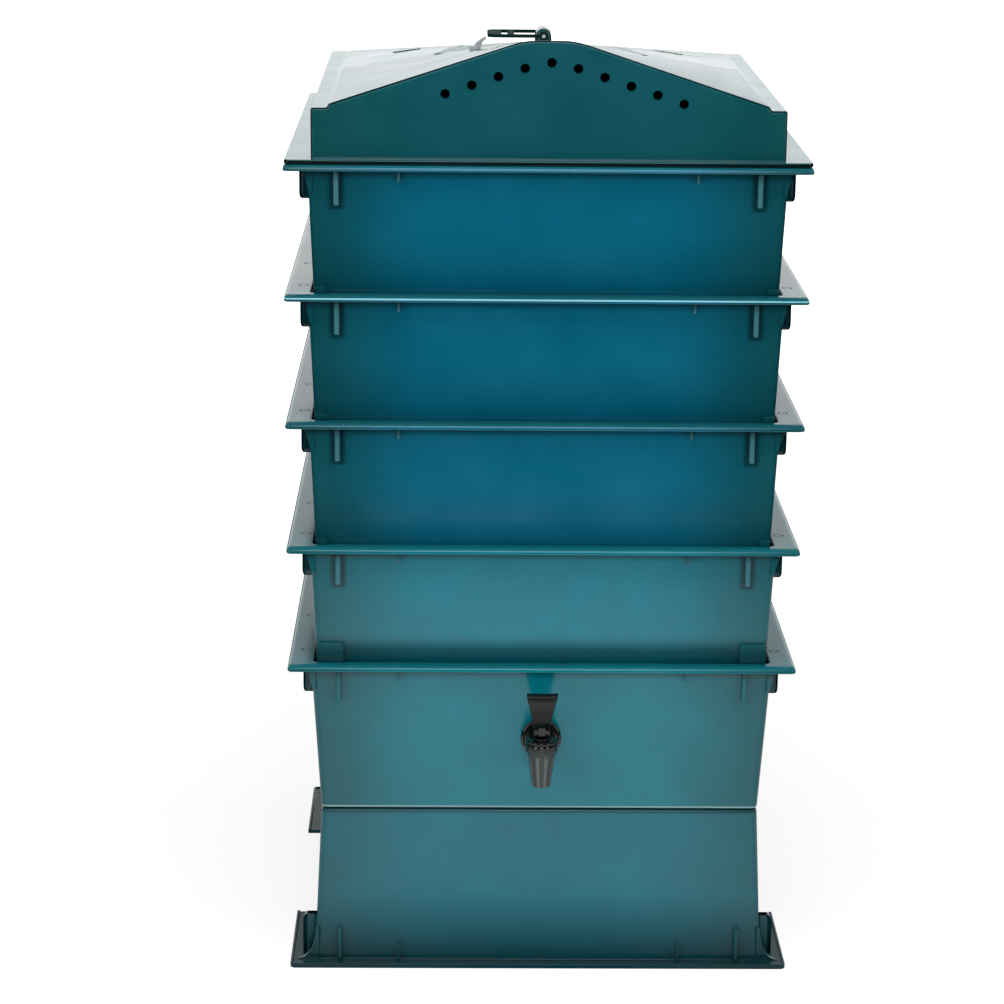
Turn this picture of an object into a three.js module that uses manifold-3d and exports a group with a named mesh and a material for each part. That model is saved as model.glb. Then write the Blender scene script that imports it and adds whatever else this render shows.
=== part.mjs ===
// A five-tier worm composter: an arched stand, a collector with a tap, four
// perforated working trays that nest in each other, and a gabled lid.
// Millimetres. +X is right, -Y is the front, +Z is up.

import * as THREE from 'three';
import { mergeVertices } from 'three/addons/utils/BufferGeometryUtils.js';
import Module from 'manifold-3d';

const wasm = await Module();
wasm.setup();

// General values
const clearance = 0.3; // gap between two pieces that touch
const overrun = 4; // how far a cut runs out of a face, or a rib's root into a wall
const facets = { corner: 2, rod: 16, tap: 20, hole: 10, roof: 6, arch: 5, pad: 4 };

// The rim that every tray has, and the wall under it
const rim = {
  width: 390, depth: 390, cornerRadius: 4,
  sideOverhang: 17.5, frontOverhang: 9,
  plate: 2.6, lip: 5.2, lipGauge: 2.2,
};
const wall = { gauge: 2, cornerRadius: 5 };

// Ribs under the rims and above the stand's flange
const rib = {
  outerSpacing: 312, outerWidth: 4, outerLength: 31,
  innerSpacing: 220, innerWidth: 2.2, innerLength: 13,
  frontReach: 4.5,
  sideInset: 27, sideReach: 6.5, sideLength: 29,
};

const tray = {
  depth: 115, draftAngle: 2.4, floor: 2.4,
  nest: 18, firstNest: 21,
  holesAcross: 6, holeSize: 12, holeMargin: 40,
};
const lug = { inset: 1.5, lap: 2 };
const upperLug = { width: 8, height: 4 };
const firstLug = { width: 20, height: 15 };

const collector = {
  height: 122, draftAngle: 3.34, floor: 3,
  pegRadius: 6, pegLength: 5, pegInset: 34,
};
const stand = {
  height: 128, draftAngle: 2.64, top: 2.8,
  footPlate: 3, footLip: 4, footLength: 105,
  archHeight: 92, archRadius: 40,
  gussetHeight: 27, gussetGauge: 3,
  outerRibLength: 31, innerRibLength: 18, sideRibLength: 36, sideRibReach: 9.5,
};
const ladder = {
  baseWidth: 150, topWidth: 86, gauge: 2, headroom: 6,
  slotWidth: 9, slotCount: 4, slotFoot: 9,
};

const lid = {
  inset: 1, plate: 3, sideOverhang: 19.5, frontOverhang: 7.5, gauge: 2.4,
  eave: 40, eaveStrip: 12.5, eaveStep: 3, ridgeWidth: 37, frontPeak: 90, rearPeak: 48,
  spigot: 9, spigotGap: 1.6,
};
const vent = { radius: 3.6, count: 10, leftCount: 4, pitch: 19.4, offset: 1.3, peak: 74, softness: 8 };
const ventSlopeShare = 0.33;
const roofRib = { width: 6, height: 2 };
// Ends of the right-hand roof ribs: x as a share of half the box, y of its half depth
const roofRibShare = [
  { from: [0.37, 0.88], to: [0.48, 0.24] },
  { from: [0.57, 0.86], to: [0.69, 0.74] },
];

const handle = {
  bossWidth: 12.6, bossLength: 27, bossHeight: 11.5, pinRadius: 1.5, pinHeight: 6.2,
  loopReach: 44, loopTail: 3.4, loopWidth: 40, loopGauge: 2.4, armWidth: 4, cornerRadius: 7,
  gripLength: 11, windowLength: 5, dividerLength: 5,
  screwRadius: 2, screwDepth: 2.6, screwHead: 4.2, headGauge: 2,
};
const clip = { foot: 9, gauge: 2.2, height: 10, width: 9, lean: 4, distance: 49 };

const tap = {
  drop: 60, landRadius: 19, landProud: 1.2, holeRadius: 8.6,
  shankRadius: 8, shankInside: 17, boreRadius: 5,
  gasketRadius: 14.5, gasketGauge: 1.8, collarRadius: 15.7, collarGauge: 3,
  reach: 21, barrelRadius: 10,
  chamberRadius: 12.2, chamberTop: 4, bandDepth: 3, spoutTopRadius: 11, spoutLength: 28, spoutRadius: 7.2,
  chamberBore: 7.8, chamberFloor: 12, seatGauge: 2.5, seatBore: 4, spoutBore: 5.4,
  nutRadius: 14, nutGauge: 7,
};
const bonnet = { plug: 1.2, cap: 2.6, hubRadius: 5.6, hub: 0.8, boreRadius: 2.9 };
const stem = { radius: 2.4, headWidth: 5, headDepth: 6.4, cupRadius: 6.6, cupGauge: 5 };
const lever = {
  pinRadius: 1.4, pinHeight: 13, hubRadius: 4.6, cheekGauge: 3.4,
  neckHeight: 8, neckGauge: 6.5, top: 31, waistWidth: 14.5, tipWidth: 24, tipGauge: 9.5, bladeGauge: 4,
};

const radians = Math.PI / 180;

// Sizes that follow from the values above
const wallTop = { width: rim.width - 2 * rim.sideOverhang, depth: rim.depth - 2 * rim.frontOverhang };
const narrowed = (size, run, angle) => size - 2 * run * Math.tan(angle * radians);
const collectorBase = {
  width: narrowed(wallTop.width, collector.height, collector.draftAngle),
  depth: narrowed(wallTop.depth, collector.height, collector.draftAngle),
};
const standFoot = {
  width: narrowed(collectorBase.width, -stand.height, stand.draftAngle),
  depth: narrowed(collectorBase.depth, -stand.height, stand.draftAngle),
};
const collectorRim = stand.height + collector.height;
const firstRim = collectorRim + tray.depth - tray.firstNest;
const trayPitch = tray.depth - tray.nest;
const lidBase = firstRim + 3 * trayPitch + clearance;
const landFace = narrowed(wallTop.depth, tap.drop - tap.landRadius, collector.draftAngle) / 2 + tap.landProud;
const tapFront = landFace + clearance + tap.gasketGauge + clearance + tap.reach + tap.chamberRadius;
const centreShift = (tapFront - rim.depth / 2) / 2; // centres the whole, tap included, over the origin

// Solids and meshes

function solidOf(geometry) {
  const bare = geometry.clone();
  bare.deleteAttribute('normal');
  bare.deleteAttribute('uv');
  const merged = mergeVertices(bare);
  const corners = merged.index.array;
  const kept = [];
  for (let i = 0; i < corners.length; i += 3) {
    const [a, b, c] = [corners[i], corners[i + 1], corners[i + 2]];
    if (a !== b && b !== c && c !== a) kept.push(a, b, c);
  }
  return new wasm.Manifold(new wasm.Mesh({
    numProp: 3,
    vertProperties: Float32Array.from(merged.attributes.position.array),
    triVerts: Uint32Array.from(kept),
  }));
}

function meshOf(name, solid, material) {
  const { vertProperties, triVerts } = solid.getMesh();
  const geometry = new THREE.BufferGeometry();
  geometry.setAttribute('position', new THREE.BufferAttribute(Float32Array.from(vertProperties), 3));
  geometry.setIndex(new THREE.BufferAttribute(Uint32Array.from(triVerts), 1));
  geometry.computeVertexNormals();
  const mesh = new THREE.Mesh(geometry, material);
  mesh.name = name;
  return mesh;
}

const joined = (solids) => solids.reduce((whole, piece) => whole.add(piece));

function block(from, to) {
  const size = from.map((value, axis) => Math.abs(to[axis] - value));
  const centre = from.map((value, axis) => (to[axis] + value) / 2);
  return solidOf(new THREE.BoxGeometry(...size).translate(...centre));
}

function roundedRect(width, depth, radius) {
  const [x, y] = [width / 2, depth / 2];
  const shape = new THREE.Shape();
  shape.moveTo(x, radius - y);
  shape.absarc(x - radius, y - radius, radius, 0, Math.PI / 2);
  shape.absarc(radius - x, y - radius, radius, Math.PI / 2, Math.PI);
  shape.absarc(radius - x, radius - y, radius, Math.PI, 1.5 * Math.PI);
  shape.absarc(x - radius, radius - y, radius, 1.5 * Math.PI, 2 * Math.PI);
  return shape;
}

function prismGeometry(shape, low, high, curveSegments = facets.corner) {
  const options = { depth: high - low, bevelEnabled: false, curveSegments };
  const geometry = new THREE.ExtrudeGeometry(shape, options);
  return geometry.translate(0, 0, low);
}
const prism = (shape, low, high, curveSegments) => solidOf(prismGeometry(shape, low, high, curveSegments));

// An outline drawn as (y, z), carried along X, or as (x, z), carried along Y
function alongX(shape, low, high, curveSegments) {
  const geometry = prismGeometry(shape, low, high, curveSegments);
  return solidOf(geometry.rotateX(Math.PI / 2).rotateZ(Math.PI / 2));
}
function alongY(shape, low, high, curveSegments) {
  return solidOf(prismGeometry(shape, -high, -low, curveSegments).rotateX(Math.PI / 2));
}

function rod(radius, from, to, axis = 'z', sides = facets.rod) {
  const geometry = new THREE.CylinderGeometry(radius, radius, to - from, sides);
  geometry.translate(0, (from + to) / 2, 0);
  if (axis === 'z') geometry.rotateX(Math.PI / 2);
  if (axis === 'x') geometry.rotateZ(-Math.PI / 2);
  return solidOf(geometry);
}

// A block with sloping sides, drafted inwards from its wide end to its narrow end
function draftedBlock(wide, angle, wideHeight, narrowHeight, radius) {
  const [low, high] = [Math.min(wideHeight, narrowHeight), Math.max(wideHeight, narrowHeight)];
  const geometry = prismGeometry(roundedRect(wide.width, wide.depth, radius), low, high);
  const slope = Math.tan(angle * radians);
  const points = geometry.attributes.position;
  for (let i = 0; i < points.count; i += 1) {
    const inset = 2 * slope * Math.abs(points.getZ(i) - wideHeight);
    points.setX(i, points.getX(i) * (1 - inset / wide.width));
    points.setY(i, points.getY(i) * (1 - inset / wide.depth));
  }
  return solidOf(geometry);
}

// The hollow of such a block, open past its wide end
function draftedHollow(wide, angle, wideHeight, narrowHeight, gauge) {
  const past = Math.sign(wideHeight - narrowHeight) * overrun;
  const flare = 2 * overrun * Math.tan(angle * radians);
  const mouth = { width: wide.width - 2 * gauge + flare, depth: wide.depth - 2 * gauge + flare };
  return draftedBlock(mouth, angle, wideHeight + past, narrowHeight, wall.cornerRadius);
}

// Calls make for each of the four quarters, as signs of x and y
const quarters = (make) => [-1, 1].flatMap((x) => [-1, 1].map((y) => make(x, y)));

// Rims, trays and collector; z is 0 at the top of the rim

function rimFlange() {
  const outer = prism(roundedRect(rim.width, rim.depth, rim.cornerRadius), -rim.lip, 0);
  const [width, depth] = [rim.width - 2 * rim.lipGauge, rim.depth - 2 * rim.lipGauge];
  const inner = prism(roundedRect(width, depth, rim.cornerRadius / 2), -rim.lip - overrun, -rim.plate);
  return outer.subtract(inner);
}

function frontRibs(face, root, tip, spacing, width) {
  const [near, far] = [(spacing - width) / 2, (spacing + width) / 2];
  const reach = face + rib.frontReach;
  return quarters((x, y) => block([x * near, y * (face - overrun), root], [x * far, y * reach, tip]));
}

function sideRibs(face, root, tip, reach) {
  const middle = rim.depth / 2 - rib.sideInset;
  const [near, far] = [middle - rib.outerWidth / 2, middle + rib.outerWidth / 2];
  return quarters((x, y) => block(
    [x * (face - overrun), y * near, root],
    [x * (face + reach), y * far, tip]));
}

function rimRibs() {
  const [side, front] = [wallTop.width / 2, wallTop.depth / 2];
  const root = -rim.plate / 2;
  return [
    ...frontRibs(front, root, -rib.outerLength, rib.outerSpacing, rib.outerWidth),
    ...frontRibs(front, root, -rib.innerLength, rib.innerSpacing, rib.innerWidth),
    ...sideRibs(side, root, -rib.sideLength, rib.sideReach),
  ];
}

// Lugs at the foot of the front and rear walls, which rest on the rim below
function seatLugs(nest, { width, height }) {
  const pitch = tray.depth - nest;
  const seat = {
    width: narrowed(wallTop.width, pitch, tray.draftAngle),
    depth: narrowed(wallTop.depth, pitch, tray.draftAngle),
  };
  const opening = wallTop.depth / 2 - wall.gauge;
  return quarters((x, y) => block(
    [x * (seat.width / 2 - lug.inset), y * (seat.depth / 2 - overrun), clearance - pitch],
    [x * (seat.width / 2 - lug.inset - width), y * (opening + lug.lap), clearance - pitch + height]));
}

function floorHoles() {
  const span = narrowed(wallTop.width, tray.depth, tray.draftAngle) - 2 * tray.holeMargin;
  const spanDeep = narrowed(wallTop.depth, tray.depth, tray.draftAngle) - 2 * tray.holeMargin;
  const places = [...Array(tray.holesAcross).keys()].map((i) => i / (tray.holesAcross - 1) - 1 / 2);
  return joined(places.flatMap((u) => places.map((v) => block(
    [u * span - tray.holeSize / 2, v * spanDeep - tray.holeSize / 2, -tray.depth - overrun],
    [u * span + tray.holeSize / 2, v * spanDeep + tray.holeSize / 2, -tray.depth + tray.floor + overrun]))));
}

function workingTray(name, material, nest, lugSize) {
  const body = draftedBlock(wallTop, tray.draftAngle, 0, -tray.depth, wall.cornerRadius);
  const hollow = draftedHollow(wallTop, tray.draftAngle, 0, tray.floor - tray.depth, wall.gauge);
  const solid = joined([body, rimFlange(), ...rimRibs(), ...seatLugs(nest, lugSize)]);
  return meshOf(name, solid.subtract(hollow).subtract(floorHoles()), material);
}

const pegPlace = (size) => size / 2 - collector.pegInset;

function collectorTray(material) {
  const depth = collector.height - clearance;
  const body = draftedBlock(wallTop, collector.draftAngle, 0, -depth, wall.cornerRadius);
  const hollow = draftedHollow(wallTop, collector.draftAngle, 0, collector.floor - depth, wall.gauge);
  const wallFace = narrowed(wallTop.depth, tap.drop, collector.draftAngle) / 2;
  const land = rod(tap.landRadius, -landFace, overrun - wallFace, 'y', facets.tap).translate(0, 0, -tap.drop);
  const innerLand = rod(tap.landRadius, -wallFace, innerLandFace(), 'y', facets.tap)
    .translate(0, 0, -tap.drop);
  const [pegFoot, pegRoot] = [-depth - collector.pegLength, -depth + collector.floor / 2];
  const pegs = quarters((x, y) => rod(collector.pegRadius, pegFoot, pegRoot)
    .translate(x * pegPlace(collectorBase.width), y * pegPlace(collectorBase.depth), 0));
  const tapHole = rod(tap.holeRadius, -landFace - overrun, innerLandFace() + overrun, 'y', facets.tap)
    .translate(0, 0, -tap.drop);
  const shell = joined([body, rimFlange(), ...rimRibs(), ...pegs, land]).subtract(hollow);
  return meshOf('collector_tray', shell.add(innerLand).subtract(tapHole), material);
}

// y of the flat inner face that the tap's nut pulls up to
function innerLandFace() {
  const lowEdge = narrowed(wallTop.depth, tap.drop + tap.landRadius, collector.draftAngle) / 2;
  return wall.gauge + tap.landProud - lowEdge;
}

function wormLadder(material) {
  const floorTop = collector.floor - collector.height + clearance;
  const foot = floorTop + clearance;
  const top = -tray.firstNest - ladder.headroom;
  const angle = Math.atan2((ladder.baseWidth - ladder.topWidth) / 2, top - foot) / radians;
  const base = { width: ladder.baseWidth, depth: ladder.baseWidth };
  const shell = draftedBlock(base, angle, foot, top, wall.cornerRadius)
    .subtract(draftedHollow(base, angle, foot, top - ladder.gauge, ladder.gauge));
  const pitch = (ladder.topWidth - 2 * ladder.slotFoot) / ladder.slotCount;
  const [slotLow, slotHigh] = [foot + ladder.slotFoot, top - ladder.slotFoot];
  const slots = [...Array(ladder.slotCount).keys()].flatMap((i) => {
    const centre = (i - (ladder.slotCount - 1) / 2) * pitch;
    const [low, high] = [centre - ladder.slotWidth / 2, centre + ladder.slotWidth / 2];
    return [
      block([low, -ladder.baseWidth, slotLow], [high, ladder.baseWidth, slotHigh]),
      block([-ladder.baseWidth, low, slotLow], [ladder.baseWidth, high, slotHigh]),
    ];
  });
  return meshOf('worm_ladder', shell.subtract(joined(slots)), material);
}

// The stand: an upside-down tray, cut away into two long feet; z is 0 at the ground

function standArch() {
  const half = rim.depth / 2 - stand.footLength;
  const radius = stand.archRadius;
  const bend = stand.archHeight - radius;
  const shape = new THREE.Shape();
  shape.moveTo(-half, -overrun);
  shape.lineTo(half, -overrun);
  shape.lineTo(half, bend);
  shape.absarc(half - radius, bend, radius, 0, Math.PI / 2);
  shape.absarc(radius - half, bend, radius, Math.PI / 2, Math.PI);
  return alongX(shape, -rim.width, rim.width, facets.arch);
}

// A web that sweeps in a hollow curve from the wall's edge down to the flange
function footGussets() {
  const reach = (rim.width - standFoot.width) / 2 - rim.lipGauge;
  const depth = standFoot.depth / 2;
  return quarters((x, y) => {
    const root = standFoot.width / 2;
    const top = stand.footPlate + stand.gussetHeight;
    const shape = new THREE.Shape();
    shape.moveTo(x * (root - overrun), stand.footPlate / 2);
    shape.lineTo(x * (root + reach), stand.footPlate / 2);
    shape.lineTo(x * (root + reach), stand.footPlate);
    shape.quadraticCurveTo(x * root, stand.footPlate, x * (root - wall.gauge / 2), top);
    shape.lineTo(x * (root - overrun), top);
    const [near, far] = [y * depth, y * (depth - stand.gussetGauge)];
    return alongY(shape, Math.min(near, far), Math.max(near, far), facets.arch);
  });
}

function standBody(material) {
  const body = draftedBlock(standFoot, stand.draftAngle, 0, stand.height, wall.cornerRadius);
  const hollow = draftedHollow(standFoot, stand.draftAngle, 0, stand.height - stand.top, wall.gauge);
  const flange = prism(roundedRect(rim.width, rim.depth, rim.cornerRadius), 0, stand.footLip);
  const [width, depth] = [rim.width - 2 * rim.lipGauge, rim.depth - 2 * rim.lipGauge];
  const recessShape = roundedRect(width, depth, rim.cornerRadius / 2);
  const recess = prism(recessShape, stand.footPlate, stand.footLip + overrun);
  const front = standFoot.depth / 2;
  const ribs = [
    ...frontRibs(front, stand.footPlate / 2, stand.outerRibLength, rib.outerSpacing, rib.outerWidth),
    ...frontRibs(front, stand.footPlate / 2, stand.innerRibLength, rib.innerSpacing, rib.innerWidth),
    ...sideRibs(standFoot.width / 2, stand.footPlate / 2, stand.sideRibLength, stand.sideRibReach),
  ];
  const [holeFoot, holeTop] = [stand.height - stand.top - overrun, stand.height + overrun];
  const pegHoles = quarters((x, y) => rod(collector.pegRadius + clearance, holeFoot, holeTop)
    .translate(x * pegPlace(collectorBase.width), y * pegPlace(collectorBase.depth), 0));
  const solid = joined([flange.subtract(recess), body, ...ribs, ...footGussets()]);
  return meshOf('stand', solid.subtract(hollow).subtract(standArch()).subtract(joined(pegHoles)), material);
}

// The lid; z is 0 at the underside of its flange

const lidBox = {
  width: rim.width - 2 * lid.inset - 2 * lid.sideOverhang,
  depth: rim.depth - 2 * lid.inset - 2 * lid.frontOverhang,
};

// Height of the ridge at y: it falls in a straight line from the front gable to the rear
const ridgeHeight = (y) => lid.frontPeak + (lid.rearPeak - lid.frontPeak) * (y / lidBox.depth + 1 / 2);

function roofHeight(x, y) {
  const [slopeFoot, slopeTop] = [lidBox.width / 2 - lid.eaveStrip, lid.ridgeWidth / 2];
  const along = THREE.MathUtils.clamp((Math.abs(x) - slopeTop) / (slopeFoot - slopeTop), 0, 1);
  return THREE.MathUtils.lerp(ridgeHeight(y), lid.eave + lid.eaveStep, along);
}

// The outline of the box at one y, drawn in by inset and raised by lift
function roofOutline(y, inset, lift, foot) {
  const half = lidBox.width / 2 - inset;
  const [strip, ridge] = [half - lid.eaveStrip, lid.ridgeWidth / 2];
  const right = [
    [half, foot], [half, lid.eave + lift],
    [strip, lid.eave + lid.eaveStep + lift], [ridge, ridgeHeight(y) + lift],
  ];
  const left = right.map(([x, z]) => [-x, z]).reverse();
  return [...right, ...left].map(([x, z]) => new THREE.Vector3(x, y, z));
}

// A closed skin over rings of as many points each, capped at both ends
function loft(rings) {
  const size = rings[0].length;
  const cap = THREE.ShapeUtils.triangulateShape(rings[0].map((p) => new THREE.Vector2(p.x, p.z)), []);
  const last = (rings.length - 1) * size;
  const faces = cap.flatMap(([a, b, c]) => [a, b, c, last + c, last + b, last + a]);
  for (let row = 0; row < rings.length - 1; row += 1) {
    for (let i = 0; i < size; i += 1) {
      const [a, b] = [row * size + i, row * size + (i + 1) % size];
      faces.push(a, a + size, b, b, a + size, b + size);
    }
  }
  const geometry = new THREE.BufferGeometry().setFromPoints(rings.flat());
  geometry.setIndex(faces);
  return solidOf(geometry);
}

function roofSolid(inset, lift, foot) {
  const half = lidBox.depth / 2 - inset;
  const rings = [...Array(facets.roof + 1).keys()].map((row) => {
    const y = half * (2 * row / facets.roof - 1);
    return roofOutline(y, inset, lift, foot);
  });
  return loft(rings);
}

function ventHoles() {
  const places = [...Array(vent.count).keys()].map((i) => (i - vent.leftCount) * vent.pitch);
  const face = -lidBox.depth / 2;
  return joined(places.map((x) => {
    const fall = ventSlopeShare * (Math.hypot(x, vent.softness) - vent.softness);
    return rod(vent.radius, face - overrun, face + lid.gauge + overrun, 'y', facets.hole)
      .translate(x + vent.offset, 0, vent.peak - fall);
  }));
}

function roofRibs() {
  const bars = roofRibShare.flatMap(({ from, to }) => [-1, 1].map((side) => {
    const [x0, y0] = [side * from[0] * lidBox.width / 2, from[1] * lidBox.depth / 2];
    const [x1, y1] = [side * to[0] * lidBox.width / 2, to[1] * lidBox.depth / 2];
    const length = Math.hypot(x1 - x0, y1 - y0);
    const outline = roundedRect(length, roofRib.width, roofRib.width / 2);
    const bar = prismGeometry(outline, lid.eave, lid.frontPeak);
    bar.rotateZ(Math.atan2(y1 - y0, x1 - x0));
    return solidOf(bar.translate((x0 + x1) / 2, (y0 + y1) / 2, 0));
  }));
  return joined(bars).intersect(roofSolid(0, roofRib.height, lid.plate));
}

function lidBody(material) {
  const [width, depth] = [rim.width - 2 * lid.inset, rim.depth - 2 * lid.inset];
  const flange = prism(roundedRect(width, depth, rim.cornerRadius), 0, lid.plate);
  const spigotOut = 2 * (wall.gauge + lid.spigotGap);
  const [spigotWidth, spigotDepth] = [wallTop.width - spigotOut, wallTop.depth - spigotOut];
  const spigot = prism(roundedRect(spigotWidth, spigotDepth, wall.cornerRadius), -lid.spigot, lid.plate);
  const [mouthWidth, mouthDepth] = [spigotWidth - 2 * wall.gauge, spigotDepth - 2 * wall.gauge];
  const mouthShape = roundedRect(mouthWidth, mouthDepth, wall.cornerRadius);
  const mouth = prism(mouthShape, -lid.spigot - overrun, lid.plate + overrun);
  const screwHole = rod(handle.screwRadius + clearance, lid.plate, lid.frontPeak, 'z', facets.hole);
  const shell = joined([flange, spigot, roofSolid(0, 0, 0), roofRibs()])
    .subtract(roofSolid(lid.gauge, -lid.gauge, lid.plate));
  return meshOf('lid', shell.subtract(mouth).subtract(ventHoles()).subtract(screwHole), material);
}

// The lift loop on the lid; x and y are 0 at its boss

const pinLevel = ridgeHeight(0) + handle.pinHeight;

function handleBoss(material) {
  const radius = handle.bossWidth / 2;
  const top = ridgeHeight(0) + handle.bossHeight;
  const shape = new THREE.Shape();
  shape.moveTo(-radius, ridgeHeight(0) - handle.bossHeight);
  shape.lineTo(radius, ridgeHeight(0) - handle.bossHeight);
  shape.absarc(0, top - radius, radius, 0, Math.PI);
  const body = alongY(shape, -handle.bossLength / 2, handle.bossLength / 2, facets.rod);
  const pinHole = rod(handle.pinRadius + clearance, -handle.bossLength, handle.bossLength, 'y')
    .translate(0, 0, pinLevel);
  const screwTop = ridgeHeight(0) + clearance + handle.screwDepth + clearance;
  const screwHole = rod(handle.screwRadius + clearance, lid.eave, screwTop, 'z', facets.hole);
  const seated = body.subtract(roofSolid(0, clearance, 0));
  return meshOf('handle_boss', seated.subtract(pinHole).subtract(screwHole), material);
}

function handlePin(material) {
  const half = handle.loopWidth / 2;
  return meshOf('handle_pin', rod(handle.pinRadius, -half, half, 'y').translate(0, 0, pinLevel), material);
}

function handleLoop(material) {
  const { loopReach, loopTail, loopWidth, armWidth, gripLength, windowLength, dividerLength } = handle;
  const half = handle.loopGauge / 2;
  const outline = roundedRect(loopReach + loopTail, loopWidth, handle.cornerRadius);
  const plate = prismGeometry(outline, -half, half, facets.pad);
  plate.translate((loopTail - loopReach) / 2, 0, 0);
  const inner = loopWidth / 2 - armWidth;
  const window = block(
    [gripLength - loopReach, -inner, -overrun],
    [gripLength + windowLength - loopReach, inner, overrun]);
  const opening = block(
    [gripLength + windowLength + dividerLength - loopReach, -inner, -overrun],
    [loopTail + overrun, inner, overrun]);
  const eyes = [-1, 1].map((side) => {
    const [near, far] = [side * loopWidth / 2, side * inner];
    return rod(loopTail, Math.min(near, far), Math.max(near, far), 'y');
  });
  const pinHole = rod(handle.pinRadius + clearance, -loopWidth, loopWidth, 'y');
  const solid = joined([solidOf(plate).subtract(window).subtract(opening), ...eyes]).subtract(pinHole);
  return meshOf('handle_loop', solid.translate(0, 0, pinLevel), material);
}

function handleScrew(material) {
  const head = ridgeHeight(handle.screwHead) - lid.gauge - clearance;
  const tip = ridgeHeight(0) + clearance + handle.screwDepth;
  const shank = rod(handle.screwRadius, head - handle.headGauge, tip, 'z', facets.hole);
  return meshOf('handle_screw', shank.add(rod(handle.screwHead, head - handle.headGauge, head)), material);
}

// A small bent clip, which stands past the loop's grip and keeps it down
function handleClip(material) {
  const level = roofHeight(clip.distance, 0);
  const shape = new THREE.Shape();
  shape.moveTo(-clip.foot, -clip.height);
  shape.lineTo(0, -clip.height);
  shape.quadraticCurveTo(-clip.gauge, clip.height / 2, clip.lean, clip.height - clip.gauge);
  shape.lineTo(clip.lean, clip.height);
  shape.quadraticCurveTo(-clip.gauge - clip.lean, clip.height / 2, -clip.foot / 2, clip.gauge);
  shape.lineTo(-clip.foot, clip.gauge);
  const body = alongY(shape, -clip.width / 2, clip.width / 2, facets.pad).translate(-clip.distance, 0, level);
  return meshOf('handle_clip', body.subtract(roofSolid(0, clearance, 0)), material);
}

// The tap; y is 0 at the collector's outer land, z at the barrel's axis

const collarBack = -2 * clearance - tap.gasketGauge;
const chamberAxis = collarBack - tap.reach;

function ring(outer, inner, from, to) {
  const bore = rod(inner, from - overrun, to + overrun, 'y', facets.tap);
  return rod(outer, from, to, 'y', facets.tap).subtract(bore);
}

function lathe(outline) {
  const points = outline.map(([radius, height]) => new THREE.Vector2(radius, height));
  return solidOf(new THREE.LatheGeometry(points, facets.tap).rotateX(Math.PI / 2));
}

function tapBody(material) {
  const shankEnd = tap.shankInside + landFace + innerLandFace();
  const spoutEnd = -tap.bandDepth - tap.spoutLength;
  const collar = rod(tap.collarRadius, collarBack - tap.collarGauge, collarBack, 'y', facets.tap);
  const shank = rod(tap.shankRadius, collarBack - tap.collarGauge, shankEnd, 'y', facets.tap);
  const barrel = rod(tap.barrelRadius, chamberAxis, collarBack, 'y', facets.tap);
  const chamber = lathe([
    [0, spoutEnd], [tap.spoutRadius, spoutEnd], [tap.spoutTopRadius, -tap.bandDepth],
    [tap.chamberRadius, -tap.bandDepth], [tap.chamberRadius, tap.chamberTop], [0, tap.chamberTop],
  ]).translate(0, chamberAxis, 0);
  const bores = [
    rod(tap.chamberBore, -tap.chamberFloor, tap.barrelRadius + overrun),
    rod(tap.seatBore, spoutEnd, 0),
    rod(tap.spoutBore, spoutEnd - overrun, -tap.chamberFloor - tap.seatGauge),
  ].map((bore) => bore.translate(0, chamberAxis, 0));
  const inlet = rod(tap.boreRadius, chamberAxis, shankEnd + overrun, 'y', facets.tap);
  const crown = block(
    [-tap.barrelRadius, chamberAxis - tap.chamberRadius, tap.chamberTop],
    [tap.barrelRadius, chamberAxis + tap.chamberRadius, tap.barrelRadius + overrun]);
  const solid = joined([collar, shank, barrel.subtract(crown), chamber]);
  return meshOf('tap_body', solid.subtract(joined([...bores, inlet])), material);
}

function tapBonnet(material) {
  const seat = tap.chamberTop + clearance;
  const plug = rod(tap.chamberBore - clearance, seat - bonnet.plug, seat);
  const cap = rod(tap.chamberRadius, seat, seat + bonnet.cap, 'z', facets.tap);
  const hub = rod(bonnet.hubRadius, seat, seat + bonnet.cap + bonnet.hub);
  const bore = rod(bonnet.boreRadius, seat - bonnet.plug - overrun, seat + bonnet.cap + bonnet.hub + overrun);
  return meshOf('tap_bonnet', joined([plug, cap, hub]).subtract(bore).translate(0, chamberAxis, 0), material);
}

function tapSeatCup(material) {
  const foot = clearance - tap.chamberFloor;
  const cup = rod(stem.cupRadius, foot, foot + stem.cupGauge);
  const socket = rod(stem.radius + clearance, foot + stem.cupGauge / 2, foot + stem.cupGauge + overrun);
  return meshOf('tap_seat_cup', cup.subtract(socket).translate(0, chamberAxis, 0), material);
}

function tapStem(material) {
  const foot = 2 * clearance - tap.chamberFloor + stem.cupGauge / 2;
  const shank = rod(stem.radius, foot, lever.pinHeight);
  const head = block(
    [-stem.headWidth / 2, -stem.headDepth / 2, lever.pinHeight - stem.headDepth / 2],
    [stem.headWidth / 2, stem.headDepth / 2, lever.pinHeight + stem.headDepth / 2]);
  const pinHole = rod(lever.pinRadius + clearance, -lever.waistWidth, lever.waistWidth, 'x')
    .translate(0, 0, lever.pinHeight);
  return meshOf('tap_stem', shank.add(head).subtract(pinHole).translate(0, chamberAxis, 0), material);
}

const forkWidth = stem.headWidth + 2 * clearance + 2 * lever.cheekGauge;

function tapLeverPin(material) {
  const pin = rod(lever.pinRadius, -forkWidth / 2, forkWidth / 2, 'x');
  return meshOf('tap_lever_pin', pin.translate(0, chamberAxis, lever.pinHeight), material);
}

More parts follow.
